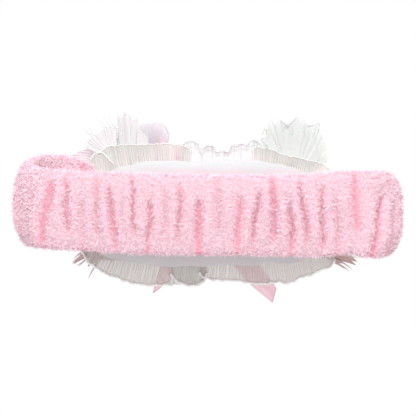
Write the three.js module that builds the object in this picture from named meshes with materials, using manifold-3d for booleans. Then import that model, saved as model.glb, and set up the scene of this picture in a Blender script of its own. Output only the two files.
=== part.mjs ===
// Spa headband: a stretchy plush fleece loop whose front carries a padded oval
// panel dressed with pleated organza, lace, tulle fans and a satin ribbon bow.
//
// Millimetres. +Z is up as the band is worn, +Y is the decorated front, and
// the origin is the middle of the opening that the head goes through.

import * as THREE from 'three';
import { mergeVertices } from 'three/addons/utils/BufferGeometryUtils.js';
import Module from 'manifold-3d';

const wasm = await Module();
wasm.setup();

// ---- driving dimensions ------------------------------------------------

const GAP = 0.3; // clearance that neighbouring solids keep
const BAND_CENTRE_X = -2; // the bow and the meeting of the ruffles sit here

// the loop, laid flat: two straight runs joined by two round ends
const LOOP = {
  straightHalf: 93, // half the length of a straight run
  endRadius: 26, // radius of the strap's middle line round each end
  runSteps: 12,
  endSteps: 10,
  frontSteps: 4,
  frontEndX: 76, // where the strap's two ends stop inside the front panel
};

const SLEEVE = { thickness: 12, height: 55, corner: 5 }; // gathered fleece tube
const CHANNEL = { thickness: 4, height: 43, corner: 1.5, overrun: 5 }; // room for the elastic
const ELASTIC = { thickness: 2, height: 40, corner: 0.6 }; // woven elastic web

// how high the strap's middle line lies as it goes round: it climbs from inside
// the panel to the front of the left end, and sinks again along the back
const LIFT = { insidePanel: 4, leftFront: 11, leftBack: 5.5, rightBack: -0.8, rightFront: 0.8 };

// the padded oval at the front, in layers from the forehead outwards
const PANEL = { halfWidth: 83, halfHeight: 35.5, centreZ: 0.5, power: 3, steps: 48 };
const LINING = { backY: 17.7, frontY: 19.7 };
const PADDING = { halfWidth: 73, halfHeight: 31, backY: 20, frontY: 32 };
const COVER = { backY: 32.3, frontY: 35.3 };

// layers of trimming, stacked forwards from the cover
const RUFFLE = { backY: 36, frontY: 39, seamTopZ: 16, seamBottomZ: -14 };
const LACE = { backY: 39.3, frontY: 40.8, bottomZ: 24 };
const FELT = { backY: 39.3, frontY: 40.8, radius: 9 };
const TULLE = { backY: 41.2, frontY: 46 };
const UPPER_ROSETTE = { x: 55, z: 38 };
const LOWER_ROSETTE = { x: 62, z: -13 };
const BACKING = { backY: 35.6, frontY: 45.8, halfWidth: 8, bottomZ: -10.5, topZ: 14 };

// the satin ribbon bow
const BOW = { knotZ: 2, backY: 46.5, frontY: 66, halfHeight: 12, reach: 46, ribbon: 1.4 };
const KNOT = { halfWidth: 8, halfHeight: 13, halfDepth: 10.4 };
const SIDE_LOOP = { x: 33, width: 20, bottomZ: 20, topZ: 61, backY: 48, frontY: 59, tilt: 4 };
const TAIL = { thickness: 1, backY: 44, hingeZ: -12 };
const ORGANZA_TAB = { backY: 47, frontY: 49 };

// ---- colours and finishes ----------------------------------------------

const finish = (color, roughness) =>
  new THREE.MeshStandardMaterial({ color, roughness, metalness: 0 });

const PINK_FLEECE = finish(0xf8c8d6, 0.95);
const WHITE_FLANNEL = finish(0xf3f3f7, 0.9);
const WADDING = finish(0xf5f2ee, 1.0);
const ELASTIC_WEB = finish(0xf2f0ec, 0.8);
const CREAM_ORGANZA = finish(0xece3da, 0.6);
const WHITE_LACE = finish(0xf4f2f0, 0.7);
const WHITE_TULLE = finish(0xeef2ee, 0.6);
const PINK_SATIN = finish(0xf0bccb, 0.35);
const PALE_ORGANZA = finish(0xf0dfe6, 0.5);
const WHITE_FELT = finish(0xefecea, 0.95);

// ---- helpers -------------------------------------------------------------

const degrees = (angle) => THREE.MathUtils.degToRad(angle);
const { lerp, smoothstep: smooth } = THREE.MathUtils;

// a mesh of the given name, with corners that coincide merged into one
function solid(name, geometry, material) {
  geometry.deleteAttribute('normal');
  geometry.deleteAttribute('uv');
  const mesh = new THREE.Mesh(mergeVertices(geometry, 1e-4), material);
  mesh.name = name;
  return mesh;
}

// an outline in (x, z), extruded from y = backY to y = frontY
function plate(outline, backY, frontY) {
  const shape = new THREE.Shape(outline);
  const geometry = new THREE.ExtrudeGeometry(shape, { depth: frontY - backY, bevelEnabled: false });
  return geometry.rotateX(Math.PI / 2).translate(0, frontY, 0);
}

// points of an oval squarer than an ellipse
function superOval(halfWidth, halfHeight, centreZ, power, steps) {
  return Array.from({ length: steps }, (_, step) => {
    const angle = (2 * Math.PI * step) / steps;
    const bulge = (value) => Math.sign(value) * Math.abs(value) ** (2 / power);
    return new THREE.Vector2(
      halfWidth * bulge(Math.cos(angle)),
      centreZ + halfHeight * bulge(Math.sin(angle)),
    );
  });
}

function toManifold(geometry) {
  const bare = mergeVertices(geometry, 1e-4);
  return new wasm.Manifold(new wasm.Mesh({
    numProp: 3,
    vertProperties: new Float32Array(bare.attributes.position.array),
    triVerts: new Uint32Array(bare.index.array),
  }));
}

function fromManifold(body) {
  const mesh = body.getMesh();
  const geometry = new THREE.BufferGeometry();
  geometry.setAttribute('position', new THREE.BufferAttribute(mesh.vertProperties, 3));
  geometry.setIndex(new THREE.BufferAttribute(mesh.triVerts, 1));
  return geometry;
}

// ---- the strap -------------------------------------------------------------

// stations of the strap's middle line, from its left front end round the back
// of the head to its right front end: place, outward direction and lift; an
// overrun carries both ends further into the panel
function loopStations(overrun) {
  const { straightHalf, endRadius, runSteps, endSteps, frontSteps, frontEndX } = LOOP;
  const frontRun = straightHalf - frontEndX + overrun;
  const stations = [];
  const add = (x, y, outX, outY, lift) => stations.push({ x, y, outX, outY, lift });
  for (let step = 0; step < frontSteps; step += 1) {
    const x = -straightHalf + frontRun * (1 - step / frontSteps);
    const climb = smooth(-x, frontEndX, straightHalf);
    add(x, endRadius, 0, 1, lerp(LIFT.insidePanel, LIFT.leftFront, climb));
  }
  for (let step = 0; step <= endSteps; step += 1) {
    const angle = Math.PI / 2 + (Math.PI * step) / endSteps;
    const lift = lerp(LIFT.leftFront, LIFT.leftBack, smooth(step / endSteps, 0, 1));
    add(-straightHalf + endRadius * Math.cos(angle), endRadius * Math.sin(angle),
      Math.cos(angle), Math.sin(angle), lift);
  }
  for (let step = 1; step < runSteps; step += 1) {
    const x = -straightHalf + (2 * straightHalf * step) / runSteps;
    const backLift = lerp(LIFT.leftBack, 0, smooth(x, -straightHalf, 0));
    add(x, -endRadius, 0, -1, x < 0 ? backLift : LIFT.rightBack * smooth(x, 0, straightHalf));
  }
  for (let step = 0; step <= endSteps; step += 1) {
    const angle = -Math.PI / 2 + (Math.PI * step) / endSteps;
    const lift = lerp(LIFT.rightBack, LIFT.rightFront, step / endSteps);
    add(straightHalf + endRadius * Math.cos(angle), endRadius * Math.sin(angle),
      Math.cos(angle), Math.sin(angle), lift);
  }
  for (let step = 1; step <= frontSteps; step += 1) {
    add(straightHalf - frontRun * (step / frontSteps), endRadius, 0, 1, LIFT.rightFront);
  }
  return stations;
}

// a rounded upright section: pairs of (outwards, up)
function uprightSection({ thickness, height, corner }, arcSteps) {
  const points = [];
  const corners = [[1, 1, 0], [-1, 1, 90], [-1, -1, 180], [1, -1, 270]];
  for (const [sideways, upwards, start] of corners) {
    for (let step = 0; step <= arcSteps; step += 1) {
      const angle = degrees(start + (90 * step) / arcSteps);
      points.push([
        sideways * (thickness / 2 - corner) + corner * Math.cos(angle),
        upwards * (height / 2 - corner) + corner * Math.sin(angle),
      ]);
    }
  }
  return points;
}

// the section carried along the loop and closed at both ends
function sweepLoop(section, overrun = 0) {
  const stations = loopStations(overrun);
  const count = section.length;
  const positions = [];
  const index = [];
  for (const { x, y, outX, outY, lift } of stations) {
    for (const [outwards, up] of section) {
      positions.push(x + outX * outwards, y + outY * outwards, up + lift);
    }
  }
  for (let station = 0; station + 1 < stations.length; station += 1) {
    for (let point = 0; point < count; point += 1) {
      const a = station * count + point;
      const b = station * count + ((point + 1) % count);
      index.push(a, a + count, b, b, a + count, b + count);
    }
  }
  const last = (stations.length - 1) * count;
  for (let point = 1; point + 1 < count; point += 1) {
    index.push(0, point, point + 1);
    index.push(last, last + point + 1, last + point);
  }
  const geometry = new THREE.BufferGeometry();
  geometry.setAttribute('position', new THREE.Float32BufferAttribute(positions, 3));
  geometry.setIndex(index);
  return geometry;
}

function strapSleeve() {
  const outside = toManifold(sweepLoop(uprightSection(SLEEVE, 3)));
  const channel = toManifold(sweepLoop(uprightSection(CHANNEL, 1), CHANNEL.overrun));
  return solid('strap_sleeve', fromManifold(outside.subtract(channel)), PINK_FLEECE);
}

function strapElastic() {
  return solid('strap_elastic', sweepLoop(uprightSection(ELASTIC, 1)), ELASTIC_WEB);
}

// ---- the padded oval panel -----------------------------------------------

function panelLining() {
  const outline = superOval(PANEL.halfWidth, PANEL.halfHeight, PANEL.centreZ, PANEL.power,
    PANEL.steps);
  return solid('panel_lining', plate(outline, LINING.backY, LINING.frontY), WHITE_FLANNEL);
}

function panelPadding() {
  const outline = superOval(PADDING.halfWidth, PADDING.halfHeight, PANEL.centreZ, PANEL.power,
    PANEL.steps);
  return solid('panel_padding', plate(outline, PADDING.backY, PADDING.frontY), WADDING);
}

function panelCover() {
  const outline = superOval(PANEL.halfWidth, PANEL.halfHeight, PANEL.centreZ, PANEL.power,
    PANEL.steps);
  return solid('panel_cover', plate(outline, COVER.backY, COVER.frontY), PINK_FLEECE);
}

// ---- pleated organza ruffles and lace ------------------------------------

// a ruffle between a straight seam and a curved hem
function ruffle(name, seam, hem) {
  const hemCurve = new THREE.SplineCurve(hem.map(([x, z]) => new THREE.Vector2(x, z)));
  const outline = seam.map(([x, z]) => new THREE.Vector2(x, z));
  return solid(name, plate([...outline, ...hemCurve.getPoints(18)], RUFFLE.backY, RUFFLE.frontY),
    CREAM_ORGANZA);
}

function ruffles() {
  const middle = BAND_CENTRE_X;
  const low = RUFFLE.seamBottomZ;
  const high = RUFFLE.seamTopZ;
  return [
    ruffle('ruffle_lower_left', [[middle - GAP, low], [-76, low]],
      [[-85, -24], [-74, -37.5], [-58, -44.5], [-38, -48], [-14, -48], [middle - GAP, -45.5]]),
    ruffle('ruffle_lower_right', [[76, low], [middle + GAP, low]],
      [[middle + GAP, -45], [16, -45.5], [38, -47.5], [54, -46.5], [70, -40], [83.5, -30]]),
    ruffle('ruffle_upper_left', [[-74, high], [-12, high]],
      [[-12, 43], [-20, 45.5], [-44, 45.5], [-66, 44.5], [-79, 33]]),
    ruffle('ruffle_upper_right', [[30, high], [74, high]],
      [[81, 30], [76, 39], [60, 44], [44, 46], [30, 44]]),
  ];
}

// a lace strip whose top edge runs in round scallops: middle, half width, top
function laceEdging() {
  const scallops = [[-12, 6, 48.5], [-0.5, 5.5, 45], [9.5, 4.5, 41], [20, 6, 46], [31, 5, 48]];
  const arcSteps = 6;
  const outline = [new THREE.Vector2(-18, LACE.bottomZ), new THREE.Vector2(36, LACE.bottomZ)];
  for (const [middleX, halfWidth, topZ] of scallops.reverse()) {
    for (let step = 0; step <= arcSteps; step += 1) {
      const angle = (Math.PI * step) / arcSteps;
      outline.push(new THREE.Vector2(middleX + halfWidth * Math.cos(angle),
        topZ - halfWidth * (1 - Math.sin(angle))));
    }
  }
  return solid('lace_edging', plate(outline, LACE.backY, LACE.frontY), WHITE_LACE);
}

// ---- side trimmings: felt discs, tulle rosettes, ribbon loops, organza tab --

function feltDisc(name, side, { x, z }) {
  const outline = superOval(FELT.radius, FELT.radius, z, 2, 20)
    .map((point) => new THREE.Vector2(point.x + side * x, point.y));
  return solid(name, plate(outline, FELT.backY, FELT.frontY), WHITE_FELT);
}

// tulle gathered at its middle and spread all round it; the rim's reach is
// given at equal steps, anticlockwise from +X
function tulleRosette(name, side, { x, z }, reaches) {
  const outline = reaches.map((reach, step) => {
    const angle = (2 * Math.PI * step) / reaches.length;
    return new THREE.Vector2(side * x + reach * Math.cos(angle), z + reach * Math.sin(angle));
  });
  return solid(name, plate(outline, TULLE.backY, TULLE.frontY), WHITE_TULLE);
}

function rosettes() {
  return [
    tulleRosette('tulle_rosette_upper_left', -1, UPPER_ROSETTE,
      [20, 21, 23, 26, 28, 29, 30, 30, 29, 24, 20, 19, 19, 19, 19, 19]),
    tulleRosette('tulle_rosette_upper_right', 1, UPPER_ROSETTE,
      [24, 25, 27, 26, 25, 26, 23, 20, 19, 19, 19, 19, 19, 19, 21, 23]),
    tulleRosette('tulle_rosette_lower_left', -1, LOWER_ROSETTE,
      [22, 22, 22, 22, 22, 22, 23, 24, 26, 34, 36, 32, 27, 23, 22, 22]),
    tulleRosette('tulle_rosette_lower_right', 1, LOWER_ROSETTE,
      [26, 24, 23, 22, 22, 22, 22, 22, 22, 22, 22, 23, 24, 27, 36, 42]),
  ];
}

// a flat ribbon bent into a closed teardrop loop: its length runs along X from
// the pinched end, its depth along Y, and its width from z = 0 upwards
function ribbonLoop(length, halfDepth, width) {
  const steps = 20;
  const thickness = BOW.ribbon;
  const index = [];
  const positions = [];
  for (let step = 0; step < steps; step += 1) {
    const angle = (2 * Math.PI * step) / steps;
    const along = (1 - Math.cos(angle)) / 2;
    const fullness = Math.sin(angle) * (0.35 + 0.65 * along);
    for (const inset of [0, thickness]) {
      const x = inset + along * (length - 2 * inset);
      const y = fullness * (halfDepth - inset);
      positions.push(x, y, 0, x, y, width);
    }
  }
  const quad = (a, b, c, d) => index.push(a, b, c, a, c, d);
  for (let step = 0; step < steps; step += 1) {
    const here = step * 4;
    const next = ((step + 1) % steps) * 4;
    quad(here, here + 1, next + 1, next); // outer face
    quad(here + 2, next + 2, next + 3, here + 3); // inner face
    quad(here, next, next + 2, here + 2); // lower edge
    quad(here + 1, here + 3, next + 3, next + 1); // upper edge
  }
  const geometry = new THREE.BufferGeometry();
  geometry.setAttribute('position', new THREE.Float32BufferAttribute(positions, 3));
  geometry.setIndex(index);
  return geometry;
}

// an upright ribbon loop beside each rosette, its ribbon facing the wearer
function sideLoop(name, side, lowering) {
  const length = SIDE_LOOP.topZ - SIDE_LOOP.bottomZ - lowering;
  const halfDepth = (SIDE_LOOP.frontY - SIDE_LOOP.backY) / 2;
  const geometry = ribbonLoop(length, halfDepth, SIDE_LOOP.width);
  // the loop's length turns upright, its depth forwards, its width sideways
  geometry.translate(0, 0, -SIDE_LOOP.width / 2);
  geometry.applyMatrix4(new THREE.Matrix4().makeBasis(
    new THREE.Vector3(0, 0, 1), new THREE.Vector3(0, -1, 0), new THREE.Vector3(1, 0, 0)));
  const mesh = solid(name, geometry, PINK_SATIN);
  mesh.rotation.y = degrees(side * SIDE_LOOP.tilt);
  mesh.position.set(side * SIDE_LOOP.x, SIDE_LOOP.backY + halfDepth, SIDE_LOOP.bottomZ);
  return mesh;
}

// the end of an organza ribbon that lies out past the upper left fan
function organzaTab() {
  const outline = [[-84, 34], [-98, 36.5], [-90, 40], [-80, 43], [-70, 44], [-70, 35]];
  return solid('organza_tab_left',
    plate(outline.map(([x, z]) => new THREE.Vector2(x, z)), ORGANZA_TAB.backY,
      ORGANZA_TAB.frontY), PALE_ORGANZA);
}

// ---- the bow -----------------------------------------------------------

function bowBacking() {
  const { halfWidth, bottomZ, topZ } = BACKING;
  const halfHeight = (topZ - bottomZ) / 2;
  const outline = superOval(halfWidth, halfHeight, bottomZ + halfHeight, 4, 24)
    .map((point) => new THREE.Vector2(point.x + BAND_CENTRE_X, point.y));
  return solid('bow_backing', plate(outline, BACKING.backY, BACKING.frontY), WHITE_FELT);
}

function bowLoop(name, side) {
  const length = BOW.reach - KNOT.halfWidth;
  const halfDepth = (BOW.frontY - BOW.backY) / 2;
  const geometry = ribbonLoop(length, halfDepth, 2 * BOW.halfHeight);
  geometry.translate(0, 0, -BOW.halfHeight);
  const mesh = solid(name, geometry, PINK_SATIN);
  if (side < 0) mesh.rotation.z = Math.PI;
  mesh.position.set(BAND_CENTRE_X + side * (KNOT.halfWidth + GAP), BOW.backY + halfDepth,
    BOW.knotZ);
  return mesh;
}

function bowKnot() {
  const geometry = new THREE.SphereGeometry(1, 20, 12);
  const squarer = (value) => Math.sign(value) * Math.abs(value) ** 0.6;
  const place = geometry.attributes.position;
  for (let point = 0; point < place.count; point += 1) {
    place.setXYZ(point,
      squarer(place.getX(point)) * KNOT.halfWidth,
      squarer(place.getY(point)) * KNOT.halfHeight,
      squarer(place.getZ(point)) * KNOT.halfDepth);
  }
  geometry.rotateX(Math.PI / 2);
  const mesh = solid('bow_knot', geometry, PINK_SATIN);
  mesh.position.set(BAND_CENTRE_X, BOW.backY + KNOT.halfDepth, BOW.knotZ);
  return mesh;
}

// a ribbon end that hangs from under the knot, cut on a slant; its outline
// starts and ends on the hinge line
function ribbonTail(name, outline) {
  const points = outline.map(([x, z]) => new THREE.Vector2(x, z));
  return solid(name, plate(points, TAIL.backY, TAIL.backY + TAIL.thickness), PINK_SATIN);
}

function ribbonTails() {
  const top = TAIL.hingeZ;
  return [
    ribbonTail('ribbon_tail_left',
      [[-15.5, top], [-32.5, -38], [-38, -48], [-37.6, -55.4], [-26, -45.5], [-2.5, top]]),
    ribbonTail('ribbon_tail_right',
      [[-1.5, top], [25, -45], [43.3, -61.4], [46, -51.4], [33.2, -34.6], [12, top]]),
  ];
}

// ---- assembly -------------------------------------------------------------

const headband = new THREE.Group();
headband.add(
  strapSleeve(), strapElastic(),
  panelLining(), panelPadding(), panelCover(),
  ...ruffles(), laceEdging(),
  feltDisc('felt_disc_upper_left', -1, UPPER_ROSETTE),
  feltDisc('felt_disc_upper_right', 1, UPPER_ROSETTE),
  feltDisc('felt_disc_lower_left', -1, LOWER_ROSETTE),
  feltDisc('felt_disc_lower_right', 1, LOWER_ROSETTE),
  ...rosettes(),
  sideLoop('side_loop_left', -1, 0), sideLoop('side_loop_right', 1, 9),
  organzaTab(),
  bowBacking(), bowLoop('bow_loop_left', -1), bowLoop('bow_loop_right', 1), bowKnot(),
  ...ribbonTails(),
);

export default headband;
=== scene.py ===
"""The looks of a spa headband: plush strap, padded panel, ruffles, tulle and bow.

Shapes are worked out in millimetres, in the frame's own axes (+X along the
band, +Y towards the decorated front, +Z up), and turned into metres when a
mesh is made.
"""
import math

import bmesh
import bpy
import numpy as np
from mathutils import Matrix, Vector


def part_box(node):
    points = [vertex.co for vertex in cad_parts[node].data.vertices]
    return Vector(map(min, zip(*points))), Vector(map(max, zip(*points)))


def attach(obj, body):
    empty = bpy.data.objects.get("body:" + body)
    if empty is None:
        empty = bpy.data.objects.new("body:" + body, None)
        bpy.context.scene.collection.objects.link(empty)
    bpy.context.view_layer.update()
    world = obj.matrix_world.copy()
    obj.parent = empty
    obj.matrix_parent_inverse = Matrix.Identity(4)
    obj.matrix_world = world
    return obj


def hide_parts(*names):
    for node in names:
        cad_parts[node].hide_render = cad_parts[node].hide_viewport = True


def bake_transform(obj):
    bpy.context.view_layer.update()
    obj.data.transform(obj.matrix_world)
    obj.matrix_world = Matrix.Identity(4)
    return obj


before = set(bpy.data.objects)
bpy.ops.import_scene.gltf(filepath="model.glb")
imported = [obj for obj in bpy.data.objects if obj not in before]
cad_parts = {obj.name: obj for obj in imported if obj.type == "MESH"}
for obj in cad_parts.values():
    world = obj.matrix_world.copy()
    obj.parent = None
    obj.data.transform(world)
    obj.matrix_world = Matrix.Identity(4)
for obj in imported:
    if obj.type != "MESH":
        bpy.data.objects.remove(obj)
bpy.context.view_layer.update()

MM = 0.001


def node_box(node):
    """A node's lowest and highest corners in millimetres."""
    low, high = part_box(node)
    return np.array(low) / MM, np.array(high) / MM


SLEEVE_HIGH = node_box("strap_sleeve")[1]
COVER_HIGH = node_box("panel_cover")[1]
LINING_LOW, LINING_HIGH = node_box("panel_lining")
RUFFLE_LOW, RUFFLE_HIGH = node_box("ruffle_lower_left")
ROSETTE_LOW, ROSETTE_HIGH = node_box("tulle_rosette_upper_left")
KNOT_LOW, KNOT_HIGH = node_box("bow_knot")

# ---- small mesh tools ------------------------------------------------------


def paint(mesh, label, values):
    """Stores one number for each of a mesh's points, for its material to read."""
    layer = mesh.attributes.new(label, "FLOAT", "POINT")
    layer.data.foreach_set("value", np.asarray(values, np.float32).ravel())


def dress(mesh, material):
    """Gives a mesh smooth shading and one material."""
    mesh.polygons.foreach_set("use_smooth", np.ones(len(mesh.polygons), bool))
    mesh.materials.clear()
    mesh.materials.append(material)


def mesh_object(name, points, faces, material, attributes=()):
    """An object from points in millimetres; faces are rows of one length, or lists."""
    mesh = bpy.data.meshes.new(name)
    points = np.asarray(points, float) * MM
    if isinstance(faces, np.ndarray):
        mesh.vertices.add(len(points))
        mesh.vertices.foreach_set("co", points.ravel())
        mesh.loops.add(faces.size)
        mesh.loops.foreach_set("vertex_index", faces.ravel().astype(np.int32))
        mesh.polygons.add(len(faces))
        starts = np.arange(len(faces), dtype=np.int32) * faces.shape[1]
        mesh.polygons.foreach_set("loop_start", starts)
        mesh.update(calc_edges=True)
    else:
        mesh.from_pydata(points.tolist(), [], faces)
        mesh.update()
    for label, values in attributes:
        paint(mesh, label, values)
    dress(mesh, material)
    piece = bpy.data.objects.new(name, mesh)
    bpy.context.scene.collection.objects.link(piece)
    return piece


def grid_faces(rows, columns, wrap=False):
    """Quads of a grid stored row by row; wrap joins the last column to the first."""
    row = np.arange(rows - 1)[:, None] * columns
    column = np.arange(columns if wrap else columns - 1)[None, :]
    following = (column + 1) % columns
    corners = [row + column, row + following, row + columns + following, row + columns + column]
    return np.stack([corner.ravel() for corner in corners], axis=1)


def grid_part(grid, wrap=False):
    """The points and quads of a grid of points, rows by columns."""
    return grid.reshape(-1, 3), grid_faces(*grid.shape[:2], wrap=wrap)


def grid_mesh(name, grid, material, wrap=False, attributes=()):
    return mesh_object(name, *grid_part(grid, wrap), material, attributes=attributes)


def joined_mesh(name, parts, material):
    """One object from several (points, quads) parts."""
    points, faces, count = [], [], 0
    for part_points, part_faces in parts:
        points.append(part_points)
        faces.append(part_faces + count)
        count += len(part_points)
    return mesh_object(name, np.vstack(points), np.vstack(faces), material)


def travelled(points):
    """How far along a line of points each of them lies."""
    steps = np.linalg.norm(np.diff(points, axis=0), axis=1)
    return np.concatenate([[0], np.cumsum(steps)])


def smooth_curve(points, count):
    """count evenly spaced points on a smooth curve through the given ones."""
    control = np.array(points, float)
    control = np.vstack([2 * control[0] - control[1], control, 2 * control[-1] - control[-2]])
    t = np.linspace(0, 1, 16, endpoint=False)[:, None]
    fine = []
    for a, b, c, d in zip(control, control[1:], control[2:], control[3:]):
        cubic = (2 * a - 5 * b + 4 * c - d) * t**2 + (3 * b - a - 3 * c + d) * t**3
        fine.append(0.5 * (2 * b + (c - a) * t + cubic))
    fine = np.vstack(fine + [control[-2:-1]])
    reach = travelled(fine)
    at = np.linspace(0, reach[-1], count)
    return np.stack([np.interp(at, reach, column) for column in fine.T], axis=1)


def normalised(vectors):
    return vectors / np.maximum(np.linalg.norm(vectors, axis=-1, keepdims=True), 1e-9)


def full_turn(count):
    """count angles evenly spaced round a circle."""
    return np.linspace(0, 2 * math.pi, count, endpoint=False)


def squared(value, squareness):
    """A sine or cosine drawn out so that a circle becomes a rounded rectangle."""
    return np.sign(value) * np.abs(value) ** (2 / squareness)


def standing(flat, y):
    """A grid of points from its flat (x, z) places and how far forwards each lies."""
    return np.stack([flat[..., 0], y, flat[..., 1]], axis=-1)


def round_about(centre, radius, turn, y):
    """Points at a radius and an angle round a centre (x, z)."""
    x, z = centre[0] + radius * np.cos(turn), centre[1] + radius * np.sin(turn)
    return np.stack([x, np.broadcast_to(y, x.shape), z], axis=-1)


def tube(path, radius, sides=6):
    """A closed tube along a path; radius is one number or one per point."""
    path = np.asarray(path, float)
    along = normalised(np.gradient(path, axis=0))
    reference = np.array([0.03, 1.0, 0.02])
    across = normalised(np.cross(along, reference))
    upwards = np.cross(across, along)
    angles = full_turn(sides)[:, None]
    radius = np.broadcast_to(radius, len(path))[:, None, None]
    ring = np.cos(angles) * across[:, None] + np.sin(angles) * upwards[:, None]
    points = (path[:, None] + radius * ring).reshape(-1, 3)
    faces = grid_faces(len(path), sides, wrap=True)[:, ::-1]
    count = len(points)
    last = count - sides
    points = np.vstack([points, path[:1], path[-1:]])
    caps = []
    for a in range(0, sides, 2):
        b, c = (a + 1) % sides, (a + 2) % sides
        caps.append([count, a, b, c])
        caps.append([count + 1, last + c, last + b, last + a])
    return points, np.vstack([faces, caps])


def smoothed(path, width):
    """A path with waves shorter than width points taken out."""
    window = np.hanning(width + 2)
    window = window / window.sum()
    margin = width // 2 + 1
    padded = np.pad(path, ((margin, margin), (0, 0)), mode="edge")
    columns = [np.convolve(column, window, mode="valid") for column in padded.T]
    return np.stack(columns, axis=1)[:len(path)]


def wobble(values, seed, waves=4):
    """Smooth irregular values between about -1 and 1, the same for the same seed."""
    rng = np.random.default_rng(seed)
    total = np.zeros_like(values, dtype=float)
    for _ in range(waves):
        total += np.sin(values * rng.uniform(0.5, 1.8) + rng.uniform(0, 2 * math.pi))
    return total / waves * 1.4


def smoothstep(low, high, values):
    """A soft step from 0 at low to 1 at high."""
    t = np.clip((values - low) / (high - low), 0, 1)
    return t * t * (3 - 2 * t)


# ---- materials -----------------------------------------------------------


class Nodes:
    """A short way to wire up the nodes of a material or a world."""

    def __init__(self, owner):
        owner.use_nodes = True
        self.owner = owner
        self.tree = owner.node_tree

    @classmethod
    def of_material(cls, name):
        nodes = cls(bpy.data.materials.new(name))
        nodes.shader = nodes.tree.nodes["Principled BSDF"]
        return nodes

    def add(self, kind, inputs=(), **settings):
        node = self.tree.nodes.new(kind)
        for key, value in settings.items():
            setattr(node, key, value)
        for socket, value in dict(inputs).items():
            self.put(node.inputs[socket], value)
        return node

    def put(self, socket, value):
        if isinstance(value, bpy.types.NodeSocket):
            self.tree.links.new(value, socket)
        elif isinstance(value, bpy.types.Node):
            self.tree.links.new(value.outputs[0], socket)
        else:
            socket.default_value = value

    def finish(self, glow=0.0, **inputs):
        """Sets the shader; glow is the share of light that passes through the cloth."""
        for name, value in inputs.items():
            self.put(self.shader.inputs[name.replace("_", " ")], value)
        if glow:
            through = self.add("ShaderNodeBsdfTranslucent", {"Color": inputs["Base_Color"]})
            both = self.add("ShaderNodeMixShader", {0: glow, 1: self.shader, 2: through})
            self.put(self.tree.nodes["Material Output"].inputs["Surface"], both)
        return self.owner

    def place(self):
        return self.add("ShaderNodeTexCoord").outputs["Object"]

    def noise(self, scale, detail=3.0, vector=None):
        inputs = {"Vector": vector or self.place(), "Scale": scale, "Detail": detail, "Roughness": 0.6}
        return self.add("ShaderNodeTexNoise", inputs).outputs["Fac"]

    def attribute(self, label):
        return self.add("ShaderNodeAttribute", attribute_name=label).outputs["Fac"]

    def ramp(self, factor, stops):
        node = self.add("ShaderNodeValToRGB", {"Fac": factor})
        ramp = node.color_ramp
        ramp.elements[0].position, ramp.elements[0].color = stops[0]
        ramp.elements[1].position, ramp.elements[1].color = stops[-1]
        for position, colour in stops[1:-1]:
            ramp.elements.new(position).color = colour
        return node.outputs["Color"]

    def mix(self, factor, first, second):
        """A blend of two colours, which a mix node takes at its inputs 6 and 7."""
        inputs = {0: factor, 6: first, 7: second}
        return self.add("ShaderNodeMix", inputs, data_type="RGBA").outputs[2]

    def maths(self, operation, *values):
        return self.add("ShaderNodeMath", dict(enumerate(values)), operation=operation).outputs[0]

    def bump(self, height, strength, distance):
        inputs = {"Height": height, "Strength": strength, "Distance": distance}
        return self.add("ShaderNodeBump", inputs).outputs["Normal"]


def shade(red, green, blue):
    return (red, green, blue, 1.0)


def darker(colour, share):
    """A colour with its light cut to a share."""
    return tuple(share * part for part in colour[:3]) + (1.0,)


def fleece(name, groove, root, middle, tip):
    """Pile coloured with painted shade: deep at the roots and in its gathers, where shade falls inside the
    pile, and pale at the tips.
    """
    nodes = Nodes.of_material(name)
    clumps = nodes.noise(420, detail=2.0)
    uneven = nodes.maths("MULTIPLY", nodes.maths("SUBTRACT", clumps, 0.5), 0.6)
    height = nodes.maths("ADD", nodes.attribute("pile"), uneven)
    # painted shade: the blades darken to a deep pink towards their roots
    colour = nodes.ramp(height, ((0.05, root), (0.5, middle), (0.95, tip)))
    # painted shade: deeper pink wherever the cloth sinks into a gather
    colour = nodes.mix(nodes.attribute("gather_shade"), colour, groove)
    nodes.put(nodes.shader.inputs["Sheen Tint"], shade(1.0, 0.82, 0.88))
    return nodes.finish(glow=0.3, Base_Color=colour, Roughness=0.92, Sheen_Weight=0.8,
                        Sheen_Roughness=0.5, Specular_IOR_Level=0.12)


def flannel(name, colour, shadow, painted_pink_light=None):
    """Short smooth pile: soft mottling, a fine nap, and any painted pink light that pink cloth beside it
    casts.
    """
    nodes = Nodes.of_material(name)
    mottle = nodes.mix(nodes.noise(60, detail=4.0), shadow, colour)
    if painted_pink_light:
        # painted pink light: reflection and shade from the strap, mixed in where the mesh marks it
        mottle = nodes.mix(nodes.attribute("painted_pink_light"), mottle, painted_pink_light)
    nap = nodes.bump(nodes.noise(2600, detail=2.0), 0.35, 0.0004)
    return nodes.finish(Base_Color=mottle, Roughness=0.88, Normal=nap, Sheen_Weight=0.5,
                        Sheen_Roughness=0.4, Specular_IOR_Level=0.15)


WAVE_TO_PITCH = 3.2  # a wave texture's bands to the metre, for a scale of 1


def woven(name, colour, shadow, thread, alpha=1.0, roughness=0.55, folded_alpha=None):
    """A plain weave of fine threads, thread metres apart; alpha under 1 is sheer.

    folded_alpha is how dense the cloth looks where its pleats double it.
    """
    nodes = Nodes.of_material(name)
    if folded_alpha:
        fold = nodes.attribute("fold")
        alpha = nodes.maths("ADD", nodes.maths("MULTIPLY", fold, folded_alpha - alpha), alpha)
    pitch = 1 / thread / WAVE_TO_PITCH
    warp, weft = (nodes.add("ShaderNodeTexWave", {"Vector": nodes.place(), "Scale": pitch},
                            bands_direction=axis).outputs["Fac"] for axis in "XZ")
    weave = nodes.maths("MAXIMUM", warp, weft)
    tone = nodes.mix(nodes.noise(90, detail=3.0), shadow, colour)
    tone = nodes.mix(nodes.maths("MULTIPLY", weave, 0.25), tone, colour)
    bump = nodes.bump(weave, 0.2, thread)
    return nodes.finish(Base_Color=tone, Roughness=roughness, Normal=bump, Alpha=alpha,
                        Sheen_Weight=0.3, Specular_IOR_Level=0.25)


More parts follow.
